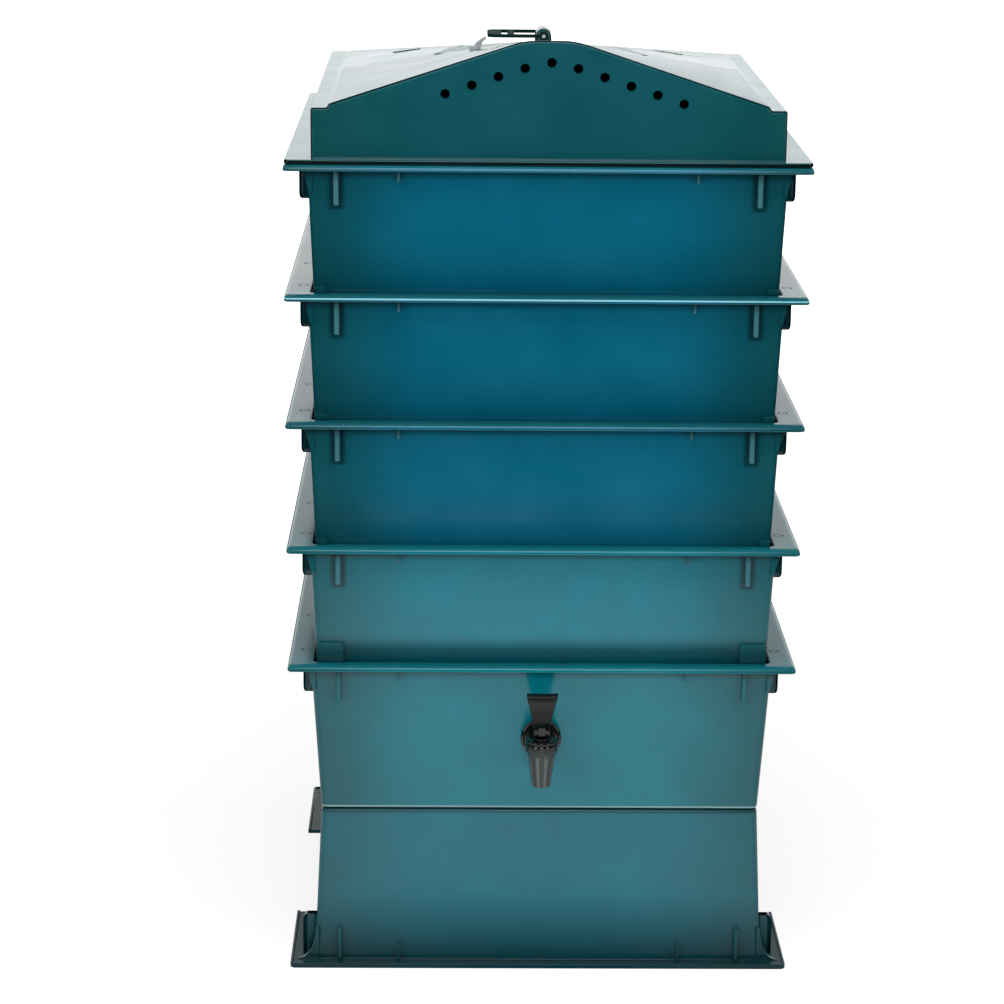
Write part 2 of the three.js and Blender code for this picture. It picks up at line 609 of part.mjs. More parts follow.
// Side profile as (y, z) about the pin, cut to a flared outline from the front
function tapLever(material) {
  const { hubRadius, neckHeight, neckGauge, top, tipGauge, bladeGauge, waistWidth, tipWidth } = lever;
  const side = new THREE.Shape();
  side.absarc(0, 0, hubRadius, Math.PI, 2 * Math.PI);
  side.lineTo(hubRadius - neckGauge + bladeGauge, neckHeight);
  side.quadraticCurveTo(bladeGauge / 2, top - tipGauge, bladeGauge / 2, top - bladeGauge / 2);
  side.lineTo(0, top);
  side.lineTo(bladeGauge / 2 - tipGauge, top);
  side.lineTo(bladeGauge / 2 - tipGauge, top - bladeGauge);
  side.quadraticCurveTo(-bladeGauge / 2, top - tipGauge, -neckGauge / 2, neckHeight);
  const front = new THREE.Shape();
  front.moveTo(-forkWidth / 2, -hubRadius - overrun);
  front.lineTo(forkWidth / 2, -hubRadius - overrun);
  front.lineTo(forkWidth / 2, neckHeight / 2);
  front.lineTo(waistWidth / 2, neckHeight);
  front.quadraticCurveTo(waistWidth / 2, top / 2, tipWidth / 2, top);
  front.lineTo(tipWidth / 2, top + overrun);
  front.lineTo(-tipWidth / 2, top + overrun);
  front.lineTo(-tipWidth / 2, top);
  front.quadraticCurveTo(-waistWidth / 2, top / 2, -waistWidth / 2, neckHeight);
  front.lineTo(-forkWidth / 2, neckHeight / 2);
  const blade = alongX(side, -tipWidth, tipWidth, facets.arch)
    .intersect(alongY(front, -tipGauge, tipGauge, facets.pad));
  const gap = stem.headWidth / 2 + clearance;
  const slotTop = Math.hypot(stem.headDepth, stem.headDepth) / 2 + clearance;
  const slot = block([-gap, -tipGauge, -hubRadius - overrun], [gap, tipGauge, slotTop]);
  const pinHole = rod(lever.pinRadius + clearance, -waistWidth, waistWidth, 'x');
  const forked = blade.subtract(slot).subtract(pinHole);
  return meshOf('tap_lever', forked.translate(0, chamberAxis, lever.pinHeight), material);
}

function tapRings(outerMaterial, nutMaterial) {
  const bore = tap.shankRadius + clearance;
  const inside = landFace + innerLandFace() + clearance;
  const nutBack = inside + tap.gasketGauge + clearance;
  const nut = rod(tap.nutRadius, nutBack, nutBack + tap.nutGauge, 'y', 6)
    .subtract(rod(bore, nutBack - overrun, nutBack + tap.nutGauge + overrun, 'y', facets.tap));
  return [
    meshOf(
      'tap_outer_gasket',
      ring(tap.gasketRadius, bore, -clearance - tap.gasketGauge, -clearance), outerMaterial),
    meshOf('tap_inner_gasket', ring(tap.gasketRadius, bore, inside, inside + tap.gasketGauge), outerMaterial),
    meshOf('tap_nut', nut, nutMaterial),
  ];
}

// Materials

const plastic = (color, roughness) => new THREE.MeshStandardMaterial({ color, roughness, metalness: 0 });
const teal = plastic('#0c5563', 0.42);
const tapBlack = plastic('#15171a', 0.3);
const rubber = plastic('#2a2b2c', 0.8);
const paleGrey = plastic('#a9aeb0', 0.5);
const steel = new THREE.MeshStandardMaterial({ color: '#b9bcc0', roughness: 0.35, metalness: 1 });

// The stack

function placed(z, ...pieces) {
  const level = new THREE.Group();
  level.position.z = z;
  level.add(...pieces);
  return level;
}

const tapGroup = placed(
  collectorRim - tap.drop,
  tapBody(tapBlack), ...tapRings(rubber, tapBlack), tapSeatCup(rubber), tapStem(tapBlack),
  tapBonnet(tapBlack), tapLeverPin(steel), tapLever(tapBlack));
tapGroup.position.y = -landFace;

const wormery = new THREE.Group();
wormery.position.y = centreShift;
wormery.add(
  standBody(teal),
  placed(collectorRim, collectorTray(teal), wormLadder(teal)),
  tapGroup,
  placed(firstRim, workingTray('tray_4', teal, tray.firstNest, firstLug)),
  placed(lidBase,
    lidBody(teal), handleBoss(teal), handlePin(steel),
    handleLoop(teal), handleScrew(steel), handleClip(paleGrey)));
for (const [index, name] of ['tray_3', 'tray_2', 'tray_1'].entries()) {
  wormery.add(placed(firstRim + (index + 1) * trayPitch, workingTray(name, teal, tray.nest, upperLug)));
}

export default wormery;
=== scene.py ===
import math
import bpy
import numpy as np
from mathutils import Matrix, Vector


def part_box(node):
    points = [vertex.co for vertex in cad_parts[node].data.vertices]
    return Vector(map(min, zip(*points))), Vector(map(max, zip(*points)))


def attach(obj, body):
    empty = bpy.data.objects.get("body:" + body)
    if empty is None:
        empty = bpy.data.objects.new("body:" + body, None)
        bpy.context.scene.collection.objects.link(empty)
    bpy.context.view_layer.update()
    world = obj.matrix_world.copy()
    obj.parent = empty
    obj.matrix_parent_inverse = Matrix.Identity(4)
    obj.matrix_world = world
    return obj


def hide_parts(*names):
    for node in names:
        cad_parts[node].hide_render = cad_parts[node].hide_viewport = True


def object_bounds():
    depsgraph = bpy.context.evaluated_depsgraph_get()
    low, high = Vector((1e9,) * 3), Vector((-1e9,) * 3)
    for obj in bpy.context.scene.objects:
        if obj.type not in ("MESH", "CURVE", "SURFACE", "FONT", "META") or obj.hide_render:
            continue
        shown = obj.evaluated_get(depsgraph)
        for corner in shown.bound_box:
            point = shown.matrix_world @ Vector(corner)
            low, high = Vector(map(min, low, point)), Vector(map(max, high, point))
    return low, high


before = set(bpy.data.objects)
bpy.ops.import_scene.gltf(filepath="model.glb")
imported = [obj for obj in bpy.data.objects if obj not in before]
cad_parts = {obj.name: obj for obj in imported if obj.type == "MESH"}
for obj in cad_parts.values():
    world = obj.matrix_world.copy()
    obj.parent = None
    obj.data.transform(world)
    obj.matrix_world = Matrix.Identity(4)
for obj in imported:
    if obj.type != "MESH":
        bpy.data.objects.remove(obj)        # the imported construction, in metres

# Wormery: moulded polypropylene stand, collector, four trays and gabled lid,
# a black barrel tap and a small lift loop. Sizes here are in millimetres.

cadBox = [list(corner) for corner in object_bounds()]
mm = 0.001
past = 9                           # how far cutters reach past what they cut
crease = math.radians(38)          # edges that turn more than this are sharp


def nodeBox(name):
    low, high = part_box(name)
    return np.array(low) / mm, np.array(high) / mm


standLow, standHigh = nodeBox("stand")
collectorTop = nodeBox("collector_tray")[1][2]
stackCentre = (standLow + standHigh) / 2          # x and y of the whole stack
rimHalf = (standHigh - standLow)[0] / 2           # half of the square rims
quarters = [(x, y) for x in (-1, 1) for y in (-1, 1)]


def onStack(height):
    return stackCentre[0], stackCentre[1], height


# Shells: an array of points in millimetres and a list of faces

def outlineKeys(cornerSteps, sideSteps):
    # A rounded rectangle as keys: x = kx * (half - r) + r * cos, y likewise,
    # going anticlockwise from the right-hand side's upper end
    rows = []
    signs = [(1, 1), (-1, 1), (-1, -1), (1, -1)]
    for quarter, (sx, sy) in enumerate(signs):
        angles = (quarter + np.linspace(0, 1, cornerSteps + 1)) * math.pi / 2
        still = np.ones_like(angles)
        rows.append(np.stack([sx * still, sy * still, np.cos(angles), np.sin(angles)], 1))
        nx, ny = signs[(quarter + 1) % 4]
        share = np.linspace(0, 1, sideSteps + 1)[1:-1]
        turn = np.full_like(share, (quarter + 1) * math.pi / 2)
        rows.append(np.stack([sx + (nx - sx) * share, sy + (ny - sy) * share, np.cos(turn), np.sin(turn)], 1))
    return np.concatenate(rows)


def circleKeys(count):
    angles = np.arange(count) / count * 2 * math.pi
    return np.stack([0 * angles, 0 * angles, np.cos(angles), np.sin(angles)], 1)


rimKeys = outlineKeys(6, 36)      # trays and other large boxes
blockKeys = outlineKeys(4, 2)     # ribs and lugs


def skin(rings, closed=False):
    # Quads between rings of as many points each, and a cap at either end unless the last ring
    # meets the first. Faces point out where the rings climb and turn anticlockwise
    count, size = rings.shape[:2]
    rows = np.arange(count if closed else count - 1)[:, None] * size
    columns = np.arange(size)[None, :]
    after, above = (columns + 1) % size, (rows + size) % (count * size)
    quads = np.stack([rows + columns, rows + after, above + after, above + columns], -1)
    faces = quads.reshape(-1, 4).tolist()
    if not closed:
        faces += [list(range(size))[::-1], list(range((count - 1) * size, count * size))]
    return rings.reshape(-1, 3), faces


def curve(start, bend, end, steps):
    # (1-t)^2 start + 2t(1-t) bend + t^2 end
    start, bend, end = np.array(start), np.array(bend), np.array(end)
    share = np.linspace(0, 1, steps + 1)[:, None]
    return (1 - share) ** 2 * start + 2 * share * (1 - share) * bend + share ** 2 * end


def rounded(corners, steps=4):
    # The last value of each row is its fillet: the corner becomes a curve
    # between the points one fillet away along its two edges
    corners = np.array(corners, float)
    places, fillets = corners[:, :-1], corners[:, -1]

    def towards(i, j):
        # One fillet from corner i towards corner j, less where the two fillets don't fit on that edge
        run = places[j] - places[i]
        return places[i] + run * fillets[i] / max(np.abs(run).max(), fillets[i] + fillets[j])

    rows = []
    for i, fillet in enumerate(fillets):
        if fillet == 0:
            rows.append(places[i:i + 1])
        else:
            rows.append(curve(towards(i, i - 1), places[i], towards(i, (i + 1) % len(places)), steps))
    return np.concatenate(rows)


def sweep(rows, keys, closed=False):
    # Rings from rows of (half width, half depth, corner radius, height), with the keys of an outline.
    # Two more columns, where given, move a ring along x and y
    rows = np.array(rows, float)
    halfX, halfY, radius, height = (rows[:, [i]] for i in range(4))
    shiftX, shiftY = (rows[:, [4]], rows[:, [5]]) if rows.shape[1] > 4 else (0, 0)
    x = keys[:, 0] * (halfX - radius) + radius * keys[:, 2] + shiftX
    y = keys[:, 1] * (halfY - radius) + radius * keys[:, 3] + shiftY
    return skin(np.stack([x, y, height + 0 * x], -1), closed)


def along(shell, axis):
    # Lays a shell made along z along x or y, turning the three axes round without mirroring
    points, faces = shell
    order = {"z": [0, 1, 2], "x": [2, 0, 1], "y": [1, 2, 0]}[axis]
    return points[:, order], faces


def lathe(corners, axis="z", count=48, steps=4):
    # Rows of (radius, height, fillet) turned about the axis
    radius, height = rounded(corners, steps).T
    return along(sweep(np.stack([radius, radius, radius, height], 1), circleKeys(count)), axis)


def rod(radius, low, high, axis="z", count=48):
    # A straight cylinder, for bores too
    return lathe([(radius, low, 0), (radius, high, 0)], axis, count)


def moved(shell, x=0, y=0, z=0):
    points, faces = shell
    return points + np.array([x, y, z], float), faces


def together(shells):
    # Shells that don't touch, as one
    points, faces, count = [], [], 0
    for shellPoints, shellFaces in shells:
        points.append(shellPoints)
        faces += [[corner + count for corner in face] for face in shellFaces]
        count += len(shellPoints)
    return np.concatenate(points), faces


def easing(edge, steps):
    # How far a rounded end is drawn in, edge (1 - cos a), and set back, edge (1 - sin a)
    turn = np.linspace(math.pi / 2, 0, steps + 1) if edge else np.array([0.0])
    return edge * (1 - np.cos(turn)), edge * (1 - np.sin(turn))


def plate(outline, low, high, axis="z", edge=0.0, steps=3):
    # An outline carried from low to high, with its ends rounded by drawing it in
    tangent = np.roll(outline, -1, 0) - np.roll(outline, 1, 0)
    inward = np.stack([-tangent[:, 1], tangent[:, 0]], 1) / np.linalg.norm(tangent, axis=1)[:, None]
    insets, rise = easing(edge, steps)
    levels = np.concatenate([low + rise, (high - rise)[::-1]])
    insets = np.concatenate([insets, insets[::-1]])
    rings = np.stack([np.column_stack([outline + inward * inset, np.full(len(outline), level)])
                      for inset, level in zip(insets, levels)])
    return along(skin(rings), axis)


def frontPlate(points, low, high, edge, steps=3):
    # An outline drawn as (x, z) from the front, anticlockwise, carried along y
    return plate(np.array(points, float)[::-1, ::-1], low, high, "y", edge, steps)


def block(low, high, radius=0.6, edge=0.5):
    # A box with rounded uprights and rounded ends
    low, high = np.array(low, float), np.array(high, float)
    (x, y, z), (width, depth, height) = (low + high) / 2, (high - low) / 2
    rows = rounded([
        (width - edge, depth - edge, radius, -height, 0), (width, depth, radius, -height, edge),
        (width, depth, radius, height, edge), (width - edge, depth - edge, radius, height, 0)], 3)
    return moved(sweep(rows, blockKeys), x, y, z)


def addObject(name, data):
    thing = bpy.data.objects.new(name, data)
    bpy.context.scene.collection.objects.link(thing)
    return thing


def shellObject(name, shell):
    points, faces = shell
    mesh = bpy.data.meshes.new(name)
    mesh.from_pydata((points * mm).tolist(), [], faces)
    return addObject(name, mesh)


def shaped(name, base, adds=(), cuts=()):
    # Joins and cuts closed shells into one closed shell
    piece = shellObject(name, base)
    tools = []
    for operation, shells in (("UNION", adds), ("DIFFERENCE", cuts)):
        for shell in shells:
            tools.append(shellObject("tool", shell))
            step = piece.modifiers.new("step", "BOOLEAN")
            step.operation, step.solver, step.object = operation, "MANIFOLD", tools[-1]
    if tools:
        bpy.context.view_layer.update()
        seen = piece.evaluated_get(bpy.context.evaluated_depsgraph_get())
        mesh = bpy.data.meshes.new_from_object(seen)
        piece.modifiers.clear()
        piece.data = mesh
        mesh.name = name
    for tool in tools:
        bpy.data.objects.remove(tool)
    return piece


def shapedShell(name, base, cuts):
    # The same as a shell again, for what is added after the cuts
    piece = shaped(name, base, (), cuts)
    points = np.array([corner.co[:] for corner in piece.data.vertices]) / mm
    faces = [list(face.vertices) for face in piece.data.polygons]
    bpy.data.objects.remove(piece)
    return points, faces


def dressed(piece, place, node, body, surface=None):
    # Smooth faces with creases where they turn sharply, the finish (the node's own teal
    # where none is given), and what the piece stands for
    mesh = piece.data
    mesh.transform(Matrix.Translation(Vector(place) * mm))
    mesh.polygons.foreach_set("use_smooth", [True] * len(mesh.polygons))
    mesh.set_sharp_from_angle(angle=crease)
    weighted = piece.modifiers.new("weighted", "WEIGHTED_NORMAL")
    weighted.keep_sharp = True
    weighted.weight = 100
    mesh.materials.clear()
    mesh.materials.append(surface or teals[node])
    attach(piece, body)
    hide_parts(node)


# Surfaces

def linear(colour):
    # sRGB hex to linear: c / 12.92 up to 0.04045, above it ((c + 0.055) / 1.055) ^ 2.4
    parts = [int(colour[i:i + 2], 16) / 255 for i in (1, 3, 5)]
    return [c / 12.92 if c <= 0.04045 else ((c + 0.055) / 1.055) ** 2.4 for c in parts] + [1.0]


def addNode(tree, kind, links=(), **settings):
    # links gives the inputs by name or number, or in order: values, outputs, or nodes,
    # which stand for their first output in use
    node = tree.nodes.new("ShaderNode" + kind)
    for key, value in settings.items():
        setattr(node, key, value)
    for key, value in links.items() if isinstance(links, dict) else enumerate(links):
        if isinstance(value, bpy.types.Node):
            value = next(output for output in value.outputs if output.enabled)
        if isinstance(value, bpy.types.NodeSocket):
            tree.links.new(value, node.inputs[key])
        else:
            node.inputs[key].default_value = value
    return node


def newSurface(name):
    surface = bpy.data.materials.new(name)
    surface.use_nodes = True
    surface.node_tree.nodes.clear()
    return surface, surface.node_tree, addNode(surface.node_tree, "TexCoord").outputs["Object"]


smooth = {"interpolation_type": "SMOOTHSTEP"}
colours = {"data_type": "RGBA"}
shades = {"data_type": "RGBA", "blend_type": "MULTIPLY"}
cloudSpread = (0.3, 0.7)       # the middle of a noise's range


def fadeEnds(level, lengths):
    # The ends of a fade, in millimetres past a level
    return [(level + length) * mm for length in lengths]


def shown(surface, tree, place, v, links, under=None):
    # The shader and its moulded or drawn grain, over the bumps under it
    grain = addNode(tree, "TexNoise", {"Vector": place, "Scale": 1 / (v["grainSize"] * mm), "Detail": 2})
    bumps = {"Strength": 1, "Distance": v["grainDepth"] * mm, "Height": grain}
    if under:
        bumps["Normal"] = under
    grained = addNode(tree, "Bump", bumps)
    shader = addNode(tree, "BsdfPrincipled", {"IOR": v["ior"], "Normal": grained, **links})
    addNode(tree, "OutputMaterial", {"Surface": shader})
    return surface


tealValues = {
    "heart": "#005f79", "edge": "#08474f",    # wall centres and corners; the corners' darker, greener colour is painted shade
    "spread": (0.42, 1.0),                    # from the middle of a wall to its corner
    "ledge": "#0c5058", "ledgeTilt": (0.25, 0.7),         # faces that look up or down, in a painted shade of their own
    "lip": 5.2, "underShade": 0.4, "underReach": 14,      # painted shade just under the rim
    "ribLight": "#3c7079", "ribLightDown": 34, "draft": 2.4,  # painted light: ribs paler where they stand proud
    "proud": (1.5, 3.5),
    "nook": (3.5, 7.5), "nookShade": 0.5,                 # painted shade beside the outer ribs
    "beside": (0.5, 2.5), "sideShade": 0.35,              # and round the side ribs
    "low": (45, 108), "lowShade": 0.62,                   # painted shade, darker towards the foot of a wall
    "dull": (74, 86), "glossy": 0.5, "dullest": 0.1,      # and duller
    "scuffAndSheen": "#86a9ab", "scuffedAndSheened": (999, 1000),           # a painted highlight on a band of the edge
    "rimTone": 1.0, "rimEnd": (-0.4, 0.2),                # the rim's painted brightness against the wall's
    "edging": 1, "faceTilt": (0.85, 0.96), "roofTilt": (0.15, 0.3),       # painted shade along the gable edges, with their reflections dulled
    "mottleSize": 42, "mottle": 0.08,
    "grainSize": 1.6, "grainDepth": 0.008,    # coarser than the real spark-eroded grain, so that it shows
    "sinkSize": 60, "sinkDepth": 0.05,
    # painted shade, darker towards the ground
    "groundShadeHeight": 70, "groundShadeRagged": 14, "groundShadeLowest": 0.4,
    "roughness": (0.13, 0.19), "ior": 1.49,
}


def mouldedPolypropylene(name, top, v):
    # Injection-moulded polypropylene: satin, a little mottled, with slight sinks that bend its reflections.
    # Painted into its colour: shade that makes it greener and darker towards the corners and the foot of
    # each wall, shade on faces that look up or down, under the rim, beside the ribs, along the gable edges
    # and near the ground, light on the ribs' proud fronts and the rim, and highlight bands. top is the
    # height of the moulding's rim
    surface, tree, place = newSurface(name)
    centred = addNode(tree, "Mapping", {"Vector": place, "Location": (0, -stackCentre[1] * mm, 0)})
    sides = addNode(tree, "VectorMath", [centred], operation="ABSOLUTE")
    x, y = addNode(tree, "SeparateXYZ", [sides]).outputs[:2]
    height = addNode(tree, "SeparateXYZ", [place]).outputs[2]
    drop = addNode(tree, "Math", [top * mm, height], operation="SUBTRACT")
    facing = addNode(tree, "SeparateXYZ", [addNode(tree, "NewGeometry").outputs["Normal"]]).outputs
    frontal = addNode(tree, "Math", [facing[1]], operation="ABSOLUTE")
    steep = addNode(tree, "Math", [facing[2]], operation="ABSOLUTE")
    wallX, wallY = wallHalves(0, 0)
    lean = math.tan(math.radians(v["draft"]))

    near = addNode(tree, "Math", [x, y], operation="MINIMUM")
    far = addNode(tree, "Math", [x, y], operation="MAXIMUM")
    share = addNode(tree, "Math", [near, far], operation="DIVIDE")
    # painted shade: darker and greener from the middle of a wall towards its corners
    corner = addNode(tree, "MapRange", [share, *v["spread"]], **smooth)
    wall = addNode(tree, "Mix", {0: corner, 6: linear(v["heart"]), 7: linear(v["edge"])}, **colours)
    # a painted shade of its own on faces that look up or down
    ledge = addNode(tree, "MapRange", [steep, *v["ledgeTilt"]])
    base = addNode(tree, "Mix", {0: ledge, 6: wall, 7: linear(v["ledge"])}, **colours)

    # painted light: the ribs' fronts paler where they stand proud of the wall
    underLip = addNode(tree, "MapRange", [drop, *fadeEnds(v["lip"], (0, 2))])
    aboveTip = addNode(tree, "MapRange", [drop, *fadeEnds(v["ribLightDown"], (0, 1)), 1, 0])
    ribOnly = addNode(tree, "Math", [underLip, aboveTip], operation="MULTIPLY")
    outY = addNode(tree, "Math", [drop, lean, y], operation="MULTIPLY_ADD")
    proud = addNode(tree, "MapRange", [outY, *fadeEnds(wallY, v["proud"])])
    ribLighting = addNode(tree, "Math", [proud, ribOnly], operation="MULTIPLY")
    # painted shade beside the outer ribs and round the side ribs
    aside = addNode(tree, "Math", [x, ribValues["outerSpacing"] / 2 * mm], operation="SUBTRACT")
    fromRib = addNode(tree, "Math", [aside], operation="ABSOLUTE")
    nook = addNode(tree, "MapRange", [fromRib, *fadeEnds(0, v["nook"]), v["nookShade"], 1], **smooth)
    nookHere = addNode(tree, "Mix", {0: ribOnly, 2: 1, 3: nook})
    outX = addNode(tree, "Math", [drop, lean, x], operation="MULTIPLY_ADD")
    beside = addNode(tree, "MapRange", [outX, *fadeEnds(wallX, v["beside"]), 1, v["sideShade"]])
    besideHere = addNode(tree, "Mix", {0: underLip, 2: 1, 3: beside})
    nooks = addNode(tree, "Math", [nookHere, besideHere], operation="MULTIPLY")
    # painted shade along the gable edges, which also dulls their reflections
    notFace = addNode(tree, "MapRange", [frontal, *v["faceTilt"], v["edging"], 1])
    notRoof = addNode(tree, "MapRange", [frontal, *v["roofTilt"], 1, 0])
    edging = addNode(tree, "Math", [notFace, notRoof], operation="MAXIMUM")
    nookAndEdgeShade = addNode(tree, "Math", [nooks, edging], operation="MULTIPLY")
    nooked = addNode(tree, "Mix", {0: 1, 6: base, 7: nookAndEdgeShade}, **shades)
    ribLight = addNode(tree, "Mix", {0: ribLighting, 6: nooked, 7: linear(v["ribLight"])}, **colours)

    cloud = addNode(tree, "TexNoise", {
        "Vector": place, "Scale": 1 / (v["mottleSize"] * mm), "Detail": 4, "Roughness": 0.55})
    shade = addNode(tree, "MapRange", [cloud, *cloudSpread, 1 - v["mottle"], 1 + v["mottle"]])
    mottled = addNode(tree, "Mix", {0: 1, 6: ribLight, 7: shade}, **shades)
    # painted shade near the ground, its edge ragged by the mottling
    ragged = addNode(tree, "Math", [cloud, v["groundShadeRagged"] * mm], operation="MULTIPLY")
    level = addNode(tree, "Math", [height, ragged], operation="SUBTRACT")
    groundShading = addNode(tree, "MapRange", [level, *fadeEnds(0, (0, v["groundShadeHeight"])), v["groundShadeLowest"], 1])
    # the rim's painted brightness, and painted shade under the rim and towards the foot of each wall
    onRim = addNode(tree, "MapRange", [drop, *fadeEnds(v["lip"], v["rimEnd"]), v["rimTone"], 0])
    under = addNode(tree, "MapRange", [
        drop, *fadeEnds(0, (v["lip"], v["underReach"])), v["underShade"], 1], **smooth)
    low = addNode(tree, "MapRange", [drop, *fadeEnds(0, v["low"]), 1, v["lowShade"]], **smooth)
    paintedLightAndShade = addNode(tree, "Math", [onRim, under], operation="MAXIMUM")
    for other in (low, groundShading):
        paintedLightAndShade = addNode(tree, "Math", [paintedLightAndShade, other], operation="MULTIPLY")
    lightAndShadePainted = addNode(tree, "Mix", {0: 1, 6: mottled, 7: paintedLightAndShade}, **shades)
    # a painted highlight band along the edge
    sheenTop, sheenFoot = v["scuffedAndSheened"]
    inBand = addNode(tree, "Math", [
        drop, (sheenTop + sheenFoot) / 2 * mm, (sheenFoot - sheenTop) / 2 * mm], operation="COMPARE")

    dull = addNode(tree, "MapRange", [drop, *fadeEnds(0, v["dull"]), v["glossy"], v["dullest"]], **smooth)
    sinks = addNode(tree, "TexNoise", {"Vector": place, "Scale": 1 / (v["sinkSize"] * mm), "Detail": 1})
    sunk = addNode(tree, "Bump", {"Strength": 1, "Distance": v["sinkDepth"] * mm, "Height": sinks})
    return shown(surface, tree, place, v, {
        "Base Color": addNode(tree, "Mix", {0: inBand, 6: lightAndShadePainted, 7: linear(v["scuffAndSheen"])}, **colours),
        "Roughness": addNode(tree, "MapRange", [cloud, *cloudSpread, *v["roughness"]]),
        "Specular IOR Level": addNode(tree, "Math", [dull, edging], operation="MULTIPLY")}, sunk)


plainValues = {
    "sealRubber": {"colour": "#1c1d1e", "roughness": (0.55, 0.75), "ior": 1.5, "metal": 0,
                   "cloudSize": 5, "grainSize": 0.6, "grainDepth": 0.03},
    "paleGrey": {"colour": "#a3a8ab", "roughness": (0.35, 0.5), "ior": 1.49, "metal": 0,
                 "cloudSize": 6, "grainSize": 0.8, "grainDepth": 0.01},
    "loopGreen": {"colour": "#0b2424", "roughness": (0.55, 0.7), "ior": 1.12, "metal": 0,
                  "cloudSize": 12, "grainSize": 1.0, "grainDepth": 0.01},
    "plainSteel": {"colour": "#b4b8ba", "roughness": (0.25, 0.4), "ior": 1.5, "metal": 1,
                   "cloudSize": 3, "grainSize": 0.4, "grainDepth": 0.008},
}
plainShade = (0.85, 1.15)      # how much the small parts' colour varies


def plainFinish(name, v):
    # Small parts in one colour: moulded plastic and rubber or drawn steel, with a fine grain
    # and patches that are a little duller from handling
    surface, tree, place = newSurface(name)
    cloud = addNode(tree, "TexNoise", {"Vector": place, "Scale": 1 / (v["cloudSize"] * mm), "Detail": 3})
    shade = addNode(tree, "MapRange", [cloud, *cloudSpread, *plainShade])
    return shown(surface, tree, place, v, {
        "Base Color": addNode(tree, "Mix", {0: 1, 6: linear(v["colour"]), 7: shade}, **shades),
        "Roughness": addNode(tree, "MapRange", [cloud, *cloudSpread, *v["roughness"]]),
        "Metallic": v["metal"]})


sealRubber = plainFinish("moulded_black_rubber", plainValues["sealRubber"])
paleGrey = plainFinish("moulded_pale_grey", plainValues["paleGrey"])
loopGreen = plainFinish("moulded_dark_green", plainValues["loopGreen"])
plainSteel = plainFinish("plain_steel", plainValues["plainSteel"])
print("surfaces made")


# Trays

rimValues = {
    "sideFlange": 17.5, "frontFlange": 9, "plate": 2.6, "lip": 5.2, "lipGauge": 2.2, "corner": 4,
    "wall": 2, "wallCorner": 5, "topEdge": 4, "topWidth": 6.2, "lowEdge": 1.2, "mouthEdge": 1.2,
    "rootEdge": 1.2, "footEdge": 2.5, "pitEdge": 2,
}
ribValues = {
    "outerSpacing": 312, "outerWidth": 4, "outerLength": 31,
    "innerSpacing": 220, "innerWidth": 2.2, "innerLength": 13, "frontReach": 4.5, "sunk": 3,
    "sideSpacing": 336, "sideReach": 6.5, "sideLength": 29,
    "webLength": 22, "webReach": 5, "webGauge": 2, "webRoot": 4, "webTip": 1.5,
}
markValues = {"places": (-154, -65, 31, 154), "fromMouth": 6.5, "radius": 4, "width": 0.9, "depth": 0.5}


def wallHalves(z, angle, gauge=0):
    # Half width and half depth of a drafted wall at a height under its rim
    v = rimValues
    fall = z * math.tan(math.radians(angle)) - gauge
    return rimHalf - v["sideFlange"] + fall, rimHalf - v["frontFlange"] + fall


unribbed = {"ribLightDown": 0, "sideShade": 1, "lowShade": 1, "dullest": 0.5}
mouldingChanges = {    # the mouldings' colours differ a little from one to the next, and so do their painted light and shade
    # tray_1's rim painted brighter; tray_2 gets a painted highlight band along its rim's bead
    "tray_1": {"rimTone": 1.15},
    "tray_2": {"scuffAndSheen": "#6fb4c4", "scuffedAndSheened": (2.1, 3.3)},
    "tray_3": {"heart": "#00627d", "edge": "#0a4b53"},
    # tray_4: painted shade, darker near its foot
    "tray_4": {
        "heart": "#007284", "edge": "#0a565e", "ledge": "#0a5c64",
        "low": (70, 88), "lowShade": 0.38},
    # the collector: a painted highlight band along the edge of its foot
    "collector_tray": {
        "heart": "#007381", "edge": "#0a555d", "ledge": "#0a5d66", "lowShade": 0.92,
        "ribLightDown": 0, "dullest": 0.5, "scuffedAndSheened": (119.4, 121)},
    # the stand: painted shade near the ground and just under its top
    "stand": {
        **unribbed, "heart": "#006575", "edge": "#0a555f", "ledge": "#0f565e", "lip": 0, "underReach": 6,
        "groundShadeHeight": 55, "groundShadeRagged": 8, "groundShadeLowest": 0.28},
    # the lid: painted shade along its flange's lower edge and its gable edges
    "lid": {
        **unribbed, "heart": "#0b4e57", "edge": "#0b484b", "ledge": "#0d535a", "lip": 87.9,
        "underShade": 0.12, "underReach": 999, "edging": 0.12},
    "handle_boss": {**unribbed, "heart": "#0f3c3b", "edge": "#0f3c3b", "ledge": "#0f3c3b", "lip": 99},
}
teals = {}
for mouldingName, changes in mouldingChanges.items():
    teals[mouldingName] = mouldedPolypropylene(
        "moulded_polypropylene_" + mouldingName, nodeBox(mouldingName)[1][2], {**tealValues, **changes})


